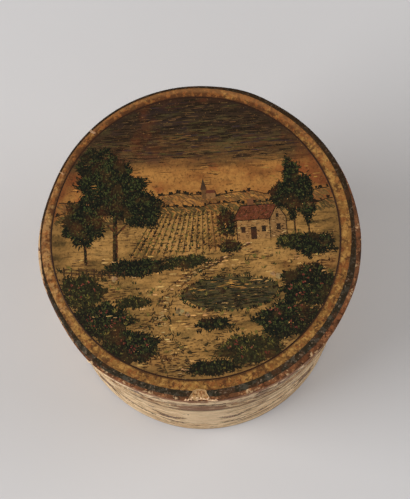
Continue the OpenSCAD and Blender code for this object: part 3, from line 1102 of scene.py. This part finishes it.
LILAC = rgb(132, 106, 106)
BLOSSOMS = (SIENNA[1], LILAC, SLATE[1])


# Things drawn with marks

def off(u, v, angle, reach):
    """A point at a distance from another."""
    return u + reach * math.cos(angle), v + reach * math.sin(angle)


def between(start, end, share):
    """A point on the way from start to end."""
    return tuple(a + (b - a) * share for a, b in zip(start, end))


def on_oval(centre, radii, angle, share):
    """A point at a share of an oval's reach."""
    return centre[0] + radii[0] * share * math.cos(angle), centre[1] + radii[1] * share * math.sin(angle)


def lobed(angle, centre):
    """Uneven reach of a leafy edge."""
    return 1 + 0.10 * math.sin(angle * 5 + centre[0]) + 0.07 * math.sin(angle * 9 + centre[1])


def in_oval(draw, centre, radii, reach=1.0):
    """A random point in an oval with a leafy edge."""
    angle = draw.uniform(0, 2 * math.pi)
    return on_oval(centre, radii, angle, math.sqrt(draw.random()) * lobed(angle, centre) * reach)


def oblong(left, low, wide, tall):
    return [(left, low), (left + wide, low), (left + wide, low + tall), (left, low + tall)]


def bush(marks, centre, radii, tones):
    """A leafy mass: jagged dark wash, feathery edge, and clumps of leaves lit from above."""
    dark, middle, light = tones
    draw = marks.draw
    edge = int(9 * (radii[0] + radii[1]))
    outline = []
    for i in range(edge + 20):
        angle = 2 * math.pi * i / (edge + 20)
        outline.append(on_oval(centre, radii, angle, lobed(angle, centre) * draw.uniform(0.86, 1.04)))
    marks.wash(outline, 2.2, dark)
    for _ in range(edge):
        angle = draw.uniform(0, 2 * math.pi)
        share = draw.uniform(0.85, 1.06) * lobed(angle, centre)
        out = math.atan2(math.sin(angle) * radii[0], math.cos(angle) * radii[1])
        place = on_oval(centre, radii, angle, share)
        marks.leaf(*place, out + draw.uniform(-0.6, 0.6), draw.uniform(1.2, 2.4), 0.6, 2.5, dark, 0.3)
    for _ in range(int(radii[0] * radii[1] / 1.45 ** 2) + 2):
        u, v = in_oval(draw, centre, radii, 0.88)
        reach = draw.uniform(1.3, 2.4)
        for _ in range(13):
            angle = draw.uniform(0, 2 * math.pi)
            du, dv = off(0, 0, angle, reach * math.sqrt(draw.random()))
            lit = (0.85 * dv - 0.5 * du) / reach + draw.uniform(-0.35, 0.35)
            colour = light if lit > 0.5 else middle if lit > -0.05 else dark
            marks.leaf(u + du, v + dv, math.atan2(dv + 0.4 * reach, du) + draw.uniform(-0.5, 0.5),
                       draw.uniform(0.8, 1.5), 0.5, 3.2 + 0.5 * lit, colour, 0.35)


def tuft(marks, u, v, size, colour, top=4.0):
    """A fan of grass blades."""
    draw = marks.draw
    for _ in range(draw.randint(3, 7)):
        lean = math.pi / 2 + draw.uniform(-0.8, 0.8)
        length = size * draw.uniform(0.6, 1.1)
        side = draw.uniform(-0.25, 0.25) * size
        marks.leaf(*off(u + side, v, lean, length / 2), lean, length, 0.42, top, colour, 0.35)


def hatch(marks, low, high, rows, share, colour, length, width, top, left=-51, right=51, keep=None):
    """Rows of short level strokes."""
    draw = marks.draw
    for row in range(rows):
        level = low + (high - low) * (row + draw.random()) / rows
        u = left + draw.uniform(0, length)
        while u < right:
            size = length * draw.uniform(0.5, 1.5)
            v = level + 0.5 * wavy(u, level, 13, 8.0)
            if draw.random() < share and (keep is None or keep(u, v)):
                marks.stroke(u, v, draw.uniform(-0.06, 0.06), size, width * draw.uniform(0.6, 1.3), top,
                             colour, 0.35)
            u += size * draw.uniform(0.8, 1.5)


def patch_of(size, seed, least):
    """Keeps strokes to cloudy patches."""
    return lambda u, v: wavy(u * 0.55, v, size, seed) > least


def hatched(marks, table):
    """Rows of level strokes in cloudy patches, a row of the table for each kind."""
    for *strokes, size, seed, least in table:
        hatch(marks, *strokes, keep=patch_of(size, seed, least))


def sloped(marks, start, end, count, width, colour, top, spread=0.3):
    """A line drawn as several strokes that overlap."""
    turn = math.atan2(end[1] - start[1], end[0] - start[0])
    length = 1.5 * math.dist(start, end) / count
    for i in range(count):
        marks.stroke(*between(start, end, (i + 0.5) / count), turn, length, width, top, colour, spread)


# The landscape: a plain country view of this script's own layout, from its horizon to its front edge

# Level strokes: from and to a height, rows, share drawn, colour, length, width, height over the paper,
# then the size, seed and least value of the cloudy patches that they keep to
SKY_STROKES = (
    (29, 51, 30, 0.5, DARK_INK, 7.0, 0.5, 1.0, 8, 2.0, -0.05),
    (29, 51, 30, 0.4, OLIVE_INK, 7.0, 0.5, 1.0, 8, 4.0, -0.05),
    (29, 51, 30, 0.4, VIOLET_INK, 7.0, 0.5, 1.0, 8, 6.0, -0.05),
    (29, 51, 30, 0.4, BROWN_INK, 7.0, 0.5, 1.0, 8, 8.0, -0.05),
    (28, 51, 64, 0.6, DARK_INK, 5.5, 0.34, 1.8, 9, 3.0, -0.15),
    (28, 51, 44, 0.4, rgb(92, 70, 44), 4.0, 0.32, 2.1, 7, 13.0, 0.0),
    (24, 36, 26, 0.35, BROWN_INK, 6.0, 0.3, 1.8, 6, 5.0, 0.0),
    (12, 27, 26, 0.2, BROWN_INK, 3.4, 0.3, 1.2, 7, 9.0, 0.08),
    (13, 27, 14, 0.25, GOLD, 3.4, 0.36, 1.2, 8, 12.0, 0.05))
FIELD_STROKES = (
    (-7, 9, 18, 0.35, BROWN_INK, 2.4, 0.36, 1.5, 8, 2.0, -0.05),
    (-50, -6, 90, 0.55, BROWN_INK, 2.6, 0.34, 1.5, 7, 7.0, 0.1),
    (-50, -6, 110, 0.45, DARK_INK, 1.9, 0.27, 1.9, 6, 11.0, 0.14),
    (-48, -6, 40, 0.4, STRAW, 2.6, 0.5, 1.6, 7, 15.0, 0.0))

# Ovals: centre, radii
CLOUDS = (((9, 31), (12, 3.0)), ((29, 28), (9, 2.4)), ((-5, 36), (9, 2.4)))
CROWNS = (((-30, 19), (12.5, 11.5)), ((-40.5, 7), (7.5, 8.5)), ((-18.5, 11), (7, 7)), ((-34, 29), (7.5, 6)),
          ((36, 15), (3.2, 11.5)), ((41, 11), (2.8, 9.5)), ((31.5, 12.5), (3.4, 4.5)), ((11.5, 4), (3.2, 5)))
BUSHES = (((-22, -10.5), (12, 3.0), GREEN), ((-4, -9.5), (8, 2.2), OLD_GREEN), ((42, -6), (8, 4), GREEN),
          ((12, -5), (4, 2), GREEN), ((34, -4.5), (5, 2.6), OLD_GREEN), ((-42, -18), (8, 6.5), OLD_GREEN),
          ((39, -21), (10, 7.5), GREEN), ((-36, -29), (11, 6.5), GREEN), ((31, -33), (12, 6.5), GREEN),
          ((-26, -39), (10.5, 6), GREEN), ((17, -42.5), (12, 5), OLD_GREEN), ((3, -48), (9, 2.6), GREEN),
          ((-24, -23), (6, 2.0), OLD_GREEN), ((4, -32.5), (6, 2.0), GREEN))
BLOOMS = (((38, -20), (8, 5.5), 12), ((30, -32), (9, 4.5), 13), ((-36, -28), (8, 4.5), 14),
          ((-26, -38), (8, 4), 10), ((17, -42), (10, 3.5), 9), ((-42, -17), (5, 4), 8))
POND_C = (11, -22)

# Hills: height, rise, colour, seed. Path and stones: place, then half width or size
HILLS = ((15.0, 3.4, rgb(116, 84, 48), 1.0), (10.5, 2.8, rgb(88, 72, 40), 5.0))
PATH = ((-8, -52, 5.0), (-11, -43, 4.2), (-14.5, -34, 3.3), (-14, -26, 2.6), (-9, -18.5, 2.1), (0, -13, 1.7),
        (10, -9, 1.4), (19, -4, 1.0))
STONES = ((-7.5, -27.5, 2.2), (-5, -28.6, 1.6), (29, -17, 2.0), (26.5, -16, 1.4), (-30, -14, 1.8))

# Flat shapes: outline, height over the paper, colour
CHURCH = ((oblong(3.2, 13.2, 1.6, 3.6), 2.3, rgb(96, 70, 44)),
          ([(2.8, 16.6), (5.2, 16.6), (4.0, 21.0)], 2.4, rgb(56, 44, 32)),
          (oblong(4.8, 13.2, 3.4, 2.0), 2.3, rgb(132, 96, 60)),
          ([(4.6, 15.0), (8.6, 15.0), (8.0, 16.4), (5.0, 16.4)], 2.4, rgb(94, 50, 36)))
HOUSE = ((oblong(15, -3, 12, 7.6), 2.0, WALL),
         ([(27, -3), (33, -2), (33, 4.6), (30, 9.2), (27, 4.6)], 2.0, rgb(132, 98, 60)),
         ([(13.6, 4.2), (27.2, 4.2), (30.2, 9.6), (17, 9.6)], 2.6, ROOF),
         (oblong(19.5, 8.6, 2.2, 3.4), 2.4, rgb(112, 72, 48)),
         (oblong(20, -3, 2.1, 4.6), 2.7, SHADE_INK),
         (oblong(16.6, -0.4, 1.5, 2.2), 2.7, SHADE_INK),
         (oblong(24, -0.4, 1.5, 2.2), 2.7, SHADE_INK),
         (oblong(29.4, 0, 1.4, 2.2), 2.7, SHADE_INK),
         (oblong(29.4, 4.6, 1.0, 1.4), 2.7, SHADE_INK))

# Lines: start, end. A trunk also has its width
HOUSE_EDGES = (((15, -3), (15, 4.6)), ((27, -3), (27, 4.6)), ((33, -2), (33, 4.6)), ((33, 4.6), (30, 9.4)),
               ((13.6, 4.2), (27.2, 4.2)), ((17, 9.6), (30.2, 9.6)), ((13.6, 4.2), (17, 9.6)),
               ((27.2, 4.2), (30.2, 9.6)))
TRUNKS = (((-29.5, -10), (-28.5, 11), 2.2), ((-28.6, 2), (-21, 9), 1.1), ((-29, 3), (-35, 10), 1.0),
          ((-40, -8), (-40, 3), 1.3), ((36, -4), (36, 6), 0.8), ((41, -4), (41, 4), 0.8))


def on_picture(place):
    """Flat picture coordinates onto the lid."""
    lift = TOP_Z + place.z + cockle(place.x, place.y)
    return Vector((place.x + PICTURE_C[0], place.y + PICTURE_C[1], lift))


def sky_lines(marks):
    draw = marks.draw
    hatched(marks, SKY_STROKES)
    for middle, radii in CLOUDS:
        for _ in range(int(radii[0] * radii[1] * 1.8)):
            u, v = in_oval(draw, middle, radii)
            marks.stroke(u, v, draw.uniform(-0.12, 0.12), draw.uniform(1.8, 5.0), 0.36, 2.4, CLOUD_INK, 0.35)


def ridge(u, base, rise, seed):
    """Height of a line of hills."""
    return base + rise * (wavy(u, 0, 17, seed) + 0.45 * wavy(u, 0, 6, seed + 2))


def hills(marks):
    draw = marks.draw
    for base, rise, colour, seed in HILLS:
        u = -50.0
        while u < 50:
            crest = ridge(u, base, rise, seed)
            for _ in range(4):
                marks.stroke(u + draw.uniform(-1, 1), crest - draw.uniform(0.3, 3.4),
                             draw.uniform(-0.9, -0.4), 2.4, 0.5, 1.2, colour, 0.35)
            slope = math.atan2(ridge(u + 0.5, base, rise, seed) - crest, 0.5)
            marks.stroke(u, crest, slope, 1.6, 0.4, 1.8, DARK_INK, 0.3)
            if draw.random() < 0.35:
                for _ in range(3):
                    marks.dab(u + draw.uniform(-0.5, 0.5), crest + draw.uniform(0, 0.8),
                              draw.uniform(0.8, 1.5), 2.0, GREEN[0], 0.3)
            u += 0.8


def furrows(marks):
    """A field of low plants in rows that run towards the front."""
    draw = marks.draw
    for furrow in range(17):
        start = (-14 + 25 * furrow / 16, 8.6 + wavy(furrow, 0, 3, 2.0))
        end = (-24 + 38 * furrow / 16, -6.5 + 1.5 * wavy(furrow, 0, 2, 5.0))
        sloped(marks, start, end, 9, 0.36, BROWN_INK, 1.8, 0.5)
        for plant in range(15):
            near = (plant + draw.random()) / 15
            u, v = between(start, end, near)
            marks.stroke(u + 0.8, v, 1.2, 1.6, 0.34, 2.0, GOLD, 0.4)
            tuft(marks, u + 0.5, v, 0.8 + 0.9 * near, draw.choice((GREEN[0], *OLD_GREEN)), 2.4)


def path(marks):
    """A path with uneven edges."""
    draw = marks.draw
    left = [(u - wide, v) for u, v, wide in PATH]
    right = [(u + wide, v) for u, v, wide in PATH]
    marks.wash(left + right[::-1], 1.3, SAND)
    for i in range(len(PATH) - 1):
        for edge in (left, right):
            turn = math.atan2(edge[i + 1][1] - edge[i][1], edge[i + 1][0] - edge[i][0])
            for _ in range(26):
                u, v = between(edge[i], edge[i + 1], draw.random())
                marks.stroke(u + draw.gauss(0, 0.35), v, turn + draw.uniform(-0.5, 0.5),
                             draw.uniform(0.6, 1.5), 0.32, 2.2,
                             draw.choice((BROWN_INK, OLIVE_INK, DARK_INK)), 0.5)
        for _ in range(22):
            u, v, wide = between(PATH[i], PATH[i + 1], draw.random())
            marks.stroke(u + draw.uniform(-0.8, 0.8) * wide, v, draw.uniform(-0.15, 0.15),
                         draw.uniform(1.0, 2.6), 0.34, 2.3, draw.choice((BROWN_INK, BROWN_INK, CHAFF)), 0.4)


def pond(marks):
    draw = marks.draw
    outline = []
    for i in range(36):
        angle = i * math.pi / 18
        wide = 17 * math.cos(angle) * (1 + 0.08 * math.sin(3 * angle))
        outline.append((POND_C[0] + wide, POND_C[1] + 6 * math.sin(angle)))
    marks.wash(outline, 1.6, WATER)
    ripples = (DARK_INK, OLIVE_INK, GREEN[1], GREEN[0], rgb(58, 54, 40), rgb(72, 64, 44))
    for _ in range(620):
        u, v = in_oval(draw, POND_C, (16.5, 5.6), 0.95)
        pale = v > -21 and draw.random() < 0.16
        colour = GOLD if pale else draw.choice(ripples)
        marks.stroke(u, v, 0, draw.uniform(1.6, 5.0), 0.34, 2.3, colour, 0.3)


def field_lines(marks):
    draw = marks.draw
    hills(marks)
    for shape in CHURCH:
        marks.wash(*shape)
    furrows(marks)
    hatched(marks, FIELD_STROKES)
    hatch(marks, -51, -30, 60, 0.5, DARK_INK, 2.2, 0.3, 2.0, keep=lambda u, v: math.hypot(u, v) > 40)
    path(marks)
    pond(marks)
    for u, v, size in STONES:
        for _ in range(6):
            marks.dab(u + draw.uniform(-0.4, 0.4) * size, v + draw.uniform(-0.3, 0.3) * size, size, 2.4,
                      STONE, 0.4)


def farm(marks):
    """A house with a tiled roof, and a fence."""
    draw = marks.draw
    for shape in HOUSE:
        marks.wash(*shape)
    for _ in range(150):
        up, along = draw.random(), draw.random()
        marks.stroke(13.9 + up * 3.1 + along * 13, 4.5 + up * 4.8, draw.choice((0, 1.0)),
                     draw.uniform(0.8, 1.8), 0.36, 3.2,
                     draw.choice((DARK_INK, TILE, RUSSET_INK, RUSSET_INK, PINK)), 0.35)
    for _ in range(130):
        marks.stroke(draw.uniform(15.3, 32.6), draw.uniform(-2.6, 4.4), 0, draw.uniform(0.6, 1.8), 0.32, 2.5,
                     draw.choice((BROWN_INK, BROWN_INK, CHAFF)), 0.35)
    for start, end in HOUSE_EDGES:
        sloped(marks, start, end, 5, 0.42, DARK_INK, 3.4)
    for post in range(9):
        u, v = -48 + 2.7 * post, -11.5 - 0.35 * post
        sloped(marks, (u, v), (u, v + 3.0), 2, 0.6, TRUNK, 2.6)
        if post < 8:
            for lift in (1.1, 2.3):
                sloped(marks, (u, v + lift), (u + 2.7, v + lift - 0.35), 2, 0.45, TRUNK, 2.7)


def trees(marks):
    for (u0, v0), (u1, v1), wide in TRUNKS:
        for shift, colour in ((-0.25, TRUNK), (0.0, TRUNK), (0.25, RUSSET_INK), (0.1, DARK_INK)):
            start, end = (u0 + shift * wide, v0), (u1 + shift * wide * 0.6, v1)
            sloped(marks, start, end, 4, wide * 0.5, colour, 1.2)
    for middle, radii in CROWNS:
        bush(marks, middle, radii, GREEN)


def bushes(marks):
    for middle, radii, tones in BUSHES:
        bush(marks, middle, radii, tones)


def grass(marks):
    """Tufts on the ground and round the pond, blossom on the bushes, and specks."""
    draw = marks.draw
    for _ in range(330):
        angle = draw.uniform(math.pi, 2 * math.pi)
        u, v = off(0, 0, angle, LIMIT * math.sqrt(draw.random()))
        if v < -9:
            size = draw.uniform(1.2, 2.6)
            tuft(marks, u, v, size, draw.choice((GREEN[0], GREEN[1], OLD_GREEN[0], OLD_GREEN[2])))
    for i in range(60):
        angle = i / 60 * 2 * math.pi
        u, v = POND_C[0] + 17.4 * math.cos(angle), POND_C[1] - 0.6 + 6.3 * math.sin(angle)
        tuft(marks, u, v, 2.0, GREEN[0] if i % 3 else GREEN[2])
    for middle, radii, count in BLOOMS:
        for _ in range(count):
            u, v = in_oval(draw, middle, radii)
            for _ in range(3):
                marks.dab(u + draw.uniform(-0.5, 0.5), v + draw.uniform(-0.5, 0.5), draw.uniform(0.5, 0.9),
                          4.2, draw.choice((ROSE, ROSE, PINK)), 0.35, 0.8)
    for _ in range(220):
        angle = draw.uniform(0.9 * math.pi, 2.1 * math.pi)
        u, v = off(0, 0, angle, LIMIT * math.sqrt(draw.random()))
        marks.dab(u, v, draw.uniform(0.25, 0.45), 4.2, draw.choice((GOLD, STRAW, DARK_INK)), 0.3, 0.8)


picture_ink = ink_finish("picture_ink", VARNISH, True)
leaves = leaf_finish()
for name, seed, layer, ink in (("picture_sky_lines", 11, sky_lines, picture_ink),
                               ("picture_field_lines", 12, field_lines, picture_ink),
                               ("picture_farm", 15, farm, picture_ink),
                               ("picture_trees", 13, trees, leaves),
                               ("picture_bushes", 14, bushes, leaves),
                               ("picture_grass", 16, grass, picture_ink)):
    marks = Marks(seed, LIMIT)
    layer(marks)
    new_piece(name, out_of_round(marks.made(on_picture)), ink, "lid", "picture_paper", sharp=1)

# Printing on the side papers: leafy swags round the body, a leafy garland round the lid

# Printed leaves: chance of one, lean from the stem, length, share of the length to its middle, width as a
# share of the length and a fixed width, height; then its vein's share of the length, width and height
SPRAY_LEAF = (0.8, (0.4, 1.2), (2.2, 4.6), 0.55, (0.34, 0), 1.8, (0.85, 0.22, 2.6))
SWAG_LEAF = (0.7, (0.3, 1.1), (2.8, 5.2), 0.5, (0.4, 0), 2.0, (0.85, 0.3, 2.8))
GARLAND_LEAF = (0.55, (0.6, 1.3), (2.2, 4.4), 0.5, (0, 1.1), 1.7, (0.9, 0.22, 2.6))

# Broken lines round the sides: height, colour, share drawn, width
BODY_LINES = ((17.4, UMBER, 0.7, 0.9), (11.8, UMBER, 0.7, 0.7), (62.0, SIENNA[1], 0.7, 0.7),
              (66.4, UMBER, 0.7, 0.6))
LID_LINES = ((90.0, UMBER, 0.85, 0.34), (91.2, SIENNA[1], 0.6, 0.34), (108.4, SIENNA[1], 0.6, 0.34),
             (109.6, UMBER, 0.85, 0.34))

# Layout of the body's swags and of the lid's garland
SPANS = 4
SWAG_FOOT_Z = 22
SWAG_TIE_Z = 46
BUNCH_Z = 36
SPRIG_Z = 57
WAVES = 13
GARLAND_Z = 99.5


def leaf_pair(marks, u, v, slope, tones, kind, scale=1.0):
    """Printed leaves on both sides of a stem, each with a darker vein."""
    chance, leans, lengths, reach, (broad, width), top, (vein, vein_width, vein_top) = kind
    draw = marks.draw
    for side in (-1, 1):
        if draw.random() < chance:
            lean = slope + side * draw.uniform(*leans)
            size = draw.uniform(*lengths) * scale
            tone = draw.choice(tones)
            middle = off(u, v, lean, reach * size)
            marks.leaf(*middle, lean, size, broad * size + width, top, tone[1], 0.35)
            marks.stroke(*middle, lean, vein * size, vein_width, vein_top, tone[0], 0.3)


def spray(marks, u, v, way, reach, fall, tones):
    """A leafy branch that hangs from a tie and thins out towards its tip."""
    for i in range(34):
        share = (i + marks.draw.random()) / 34
        along, down = u + way * reach * share, v - fall * math.sin(share * math.pi / 2)
        slope = math.atan2(-fall * math.cos(share * math.pi / 2) * math.pi / 2, way * reach)
        marks.stroke(along, down, slope, 1.8, 0.5 - 0.2 * share, 1.5, UMBER, 0.3)
        leaf_pair(marks, along, down, slope, tones, SPRAY_LEAF, 1.1 - 0.6 * share)


def rosette(marks, u, v, size, tone):
    """A small round blossom with a pale heart."""
    for petal in range(6):
        lean = 2 * math.pi * petal / 6 + marks.draw.uniform(-0.2, 0.2)
        marks.dab(*off(u, v, lean, 0.65 * size), size, 2.0, tone, 0.3, 0.8)
    marks.dab(u, v, 0.65 * size, 2.8, rgb(176, 138, 84), 0.2, 1.0)


def swag(marks, u, half, tones):
    """A leafy rope that hangs between two bows."""
    rise = SWAG_TIE_Z - SWAG_FOOT_Z
    for i in range(-36, 37):
        share = i / 36
        along, level = u + half * share, SWAG_FOOT_Z + rise * share ** 2
        slope = math.atan2(2 * rise * share, half)
        marks.stroke(along, level, slope, 3.0, 1.1, 1.5, UMBER, 0.3)
        leaf_pair(marks, along, level, slope, tones, SWAG_LEAF)


def bunch(marks, u):
    """A bunch of sprays and blossoms in the hollow of a swag."""
    draw = marks.draw
    foot = (u + draw.uniform(-1.5, 1.5), BUNCH_Z + draw.uniform(-2, 2))
    for way in (-1, 1):
        spray(marks, *foot, way, draw.uniform(5, 8), draw.uniform(-12, -7), (SLATE, SAGE, SIENNA))
    for part in range(5):
        place = (foot[0] + draw.uniform(-2.6, 2.6), foot[1] + draw.uniform(0, 7))
        rosette(marks, *place, 1.5, BLOSSOMS[part % 3])


def bow(marks, u):
    """The tie between two swags: hanging sprays, loops of ribbon and a string of blossoms."""
    draw = marks.draw
    for way in (-1, 1):
        spray(marks, u, SWAG_TIE_Z, way, draw.uniform(4, 6), draw.uniform(16, 20), (SAGE, SLATE, SIENNA))
        end = u + way * 4.4
        for lift in (0.5, 1.1):
            sloped(marks, (u, SWAG_TIE_Z), (end, SWAG_TIE_Z + 4.6 * lift), 4, 0.8, SIENNA[0], 2.6)
        sloped(marks, (end, SWAG_TIE_Z + 2.2), (end, SWAG_TIE_Z + 5), 3, 0.7, SIENNA[0], 2.6)
    for drop in range(6):
        place = (u + draw.uniform(-0.3, 0.3), SWAG_TIE_Z - 2.6 * drop)
        rosette(marks, *place, 2.3 - 0.16 * drop, BLOSSOMS[drop % 3])


def broken_lines(marks, table, spread, length, around):
    for level, colour, share, wide in table:
        hatch(marks, level - spread, level + spread, 1, share, colour, length, wide, 1.4, 0, around)


def body_frieze(marks):
    """Leafy swags between bows, with small bunches in their hollows and sprigs above, worn away in front."""
    draw = marks.draw
    around = 2 * math.pi * BODY_R
    half = around / SPANS / 2
    for i in range(SPANS):
        u = math.radians(-92 + 360 * i / SPANS) * BODY_R
        swag(marks, u, half, (SAGE, SAGE, SIENNA, SLATE))
        for shift in (-17, 9):
            bunch(marks, u + shift)
        bow(marks, u + half)
        for sprig in range(6):
            middle = u + half * (sprig / 3 - 0.83)
            for lean in (0.5, 1.1, 1.57, 2.04, 2.64):
                place = off(middle, SPRIG_Z, lean, 2.0)
                marks.leaf(*place, lean, 3.2, 1.0, 1.8, draw.choice((SAGE[1], SLATE[1])), 0.3)
            rosette(marks, middle, SPRIG_Z, 1.4, BLOSSOMS[sprig % 2])
    broken_lines(marks, BODY_LINES, 0.15, 6.0, around)
    marks.kept = [mark for mark in marks.kept
                  if abs(degrees_from(mark[0] / BODY_R, BARE_AT)) > draw.uniform(5, 13)]


def lid_garland(marks):
    """A waving stem with pairs of leaves and small blossoms, between double lines."""
    around = 2 * math.pi * LID_SIDE_R

    def stem(u):
        return GARLAND_Z + 4.6 * math.sin(2 * math.pi * WAVES * u / around)

    u = 0.0
    while u < around:
        v = stem(u)
        slope = math.atan2(stem(u + 0.2) - v, 0.2)
        marks.stroke(u, v, slope, 1.6, 0.5, 1.6, UMBER, 0.3)
        leaf_pair(marks, u, v, slope, (SAGE, SAGE, SLATE), GARLAND_LEAF)
        u += marks.draw.uniform(0.9, 1.3)
    for i in range(2 * WAVES):
        u = around * (i + 0.5) / (2 * WAVES)
        v = GARLAND_Z - 0.45 * (stem(u) - GARLAND_Z)
        rosette(marks, u, v, 1.7, (SIENNA[1], LILAC, SIENNA[1], SLATE[1])[i % 4])
        sloped(marks, (u, v), (u + 1.5, stem(u + 1.5)), 3, 0.4, UMBER, 1.5)
    broken_lines(marks, LID_LINES, 0.1, 5.0, around)


side_ink = ink_finish("side_ink", DRY, False)
marks = Marks(21)
body_frieze(marks)
frieze = marks.made(side_surface(BODY_R, BODY_SWELL), 0.06)
new_piece("body_side_lines", frieze, side_ink, "box", "printed_paper", sharp=1)

marks = Marks(22)
lid_garland(marks)
garland = marks.made(side_surface(LID_SIDE_R, LID_SWELL), 0.06)
new_piece("lid_side_lines", out_of_round(garland), side_ink, "lid", "printed_paper", sharp=1)

# Torn paper along the lid's upper edge and at the chip

# Scattered scraps: degrees round the lid, spread in degrees, lowest and highest place, greatest width
SCATTERED = ((-94, 11, 102.5, 106.5, 3.2), (-100, 75, 106.0, 109.5, 2.0))

# Single scraps: millimetres from the chip, height, width, length
SINGLE = ((-3.0, 105.0, 3.8, 0.9), (2.5, 104.6, 4.6, 0.8), (8.0, 105.4, 3.6, 0.8), (5.0, 112.0, 2.4, 0.8),
          (8.5, 110.6, 2.6, 0.8), (1.0, 113.9, 1.2, 0.5))

# Frayed strokes at the chip's foot: nearest and furthest out, left, right, height, count
FRAYED = ((2.7, 3.7, -3.0, 3.2, 20.0, 20), (3.5, 4.0, 3.0, 6.2, 42.0, 12), (3.5, 3.9, -5.0, -3.6, 42.0, 4))
BARE_BOARD = (rgb(182, 136, 88), rgb(160, 114, 70), rgb(142, 98, 58), rgb(122, 82, 48))
FRAY = rgb(232, 192, 150)


def flake(bm, draw, angle, z, wide, tall, lift):
    """A torn scrap of paper that lifts at its lower edge."""
    scrap = bmesh.new()
    bmesh.ops.create_circle(scrap, cap_ends=True, segments=11, radius=1)
    for v in scrap.verts:
        v.co *= draw.uniform(0.65, 1.1)
    extruded(scrap, 0.1)
    bmesh.ops.recalc_face_normals(scrap, faces=scrap.faces)
    for v in scrap.verts:
        curl = lift * max(0.0, 0.3 - v.co.y) ** 2
        u = v.co.x * wide + angle * LID_SIDE_R
        v.co = on_side(u, z + v.co.y * tall, v.co.z + 0.06 + curl, LID_SIDE_R)
    merge(bm, scrap)


def torn_edge():
    draw = random.Random(31)
    bm = bmesh.new()
    for middle, spread, low, high, most in SCATTERED:
        for _ in range(48):
            angle = math.radians(draw.gauss(middle, spread))
            z = draw.uniform(low, high)
            wide, tall, lift = draw.uniform(0.6, most), draw.uniform(0.35, 1.0), draw.uniform(0.05, 0.3)
            flake(bm, draw, angle, z, wide, tall, lift)
    for shift, z, wide, tall in SINGLE:
        flake(bm, draw, CHIP_AT + shift / LID_R, z, wide, tall, 0.2)
    return out_of_round(bm)


def chip_lip():
    """Broken edge of the board round the chip."""
    bm = bmesh.new()
    edges = []
    for spread, z in ((0.1, TOP_Z - 0.02), (-0.35, BOARD_TOP_Z + 0.2)):
        loop = [bm.verts.new(at_chip(*spot, z)) for spot in chip_outline(spread)]
        edges += [bm.edges.new(pair) for pair in zip(loop, loop[1:])]
    bmesh.ops.bridge_loops(bm, edges=edges)
    extruded(bm, -0.3)
    bmesh.ops.recalc_face_normals(bm, faces=bm.faces)
    return out_of_round(bm)


def chip_shreds():
    """Fibres of the bare board in the chip, and frayed paper at its foot."""
    marks = Marks(33)
    draw = marks.draw
    for _ in range(40):
        along, across = draw.uniform(0.5, 3.1), draw.uniform(-1.6, 1.6)
        marks.stroke(along, across * (0.9 + 0.4 * along), draw.uniform(-0.2, 0.2), draw.uniform(0.5, 1.4),
                     0.3, 8.0, draw.choice(BARE_BOARD), 0.2)
    for low, high, left, right, top, count in FRAYED:
        for _ in range(count):
            marks.stroke(draw.uniform(low, high), draw.uniform(left, right), 1.57 + draw.uniform(-0.45, 0.45),
                         draw.uniform(0.5, 1.5), 0.32, top, FRAY, 0.15)
    return out_of_round(marks.made(lambda place: at_chip(place.x, place.y, BOARD_TOP_Z + place.z)))


new_piece("torn_edge", torn_edge(), torn, "lid", "printed_paper", sharp=20)
new_piece("chip_lip", chip_lip(), board, "lid", "printed_paper", sharp=20)
new_piece("chip_shreds", chip_shreds(), side_ink, "lid", "board", sharp=1)
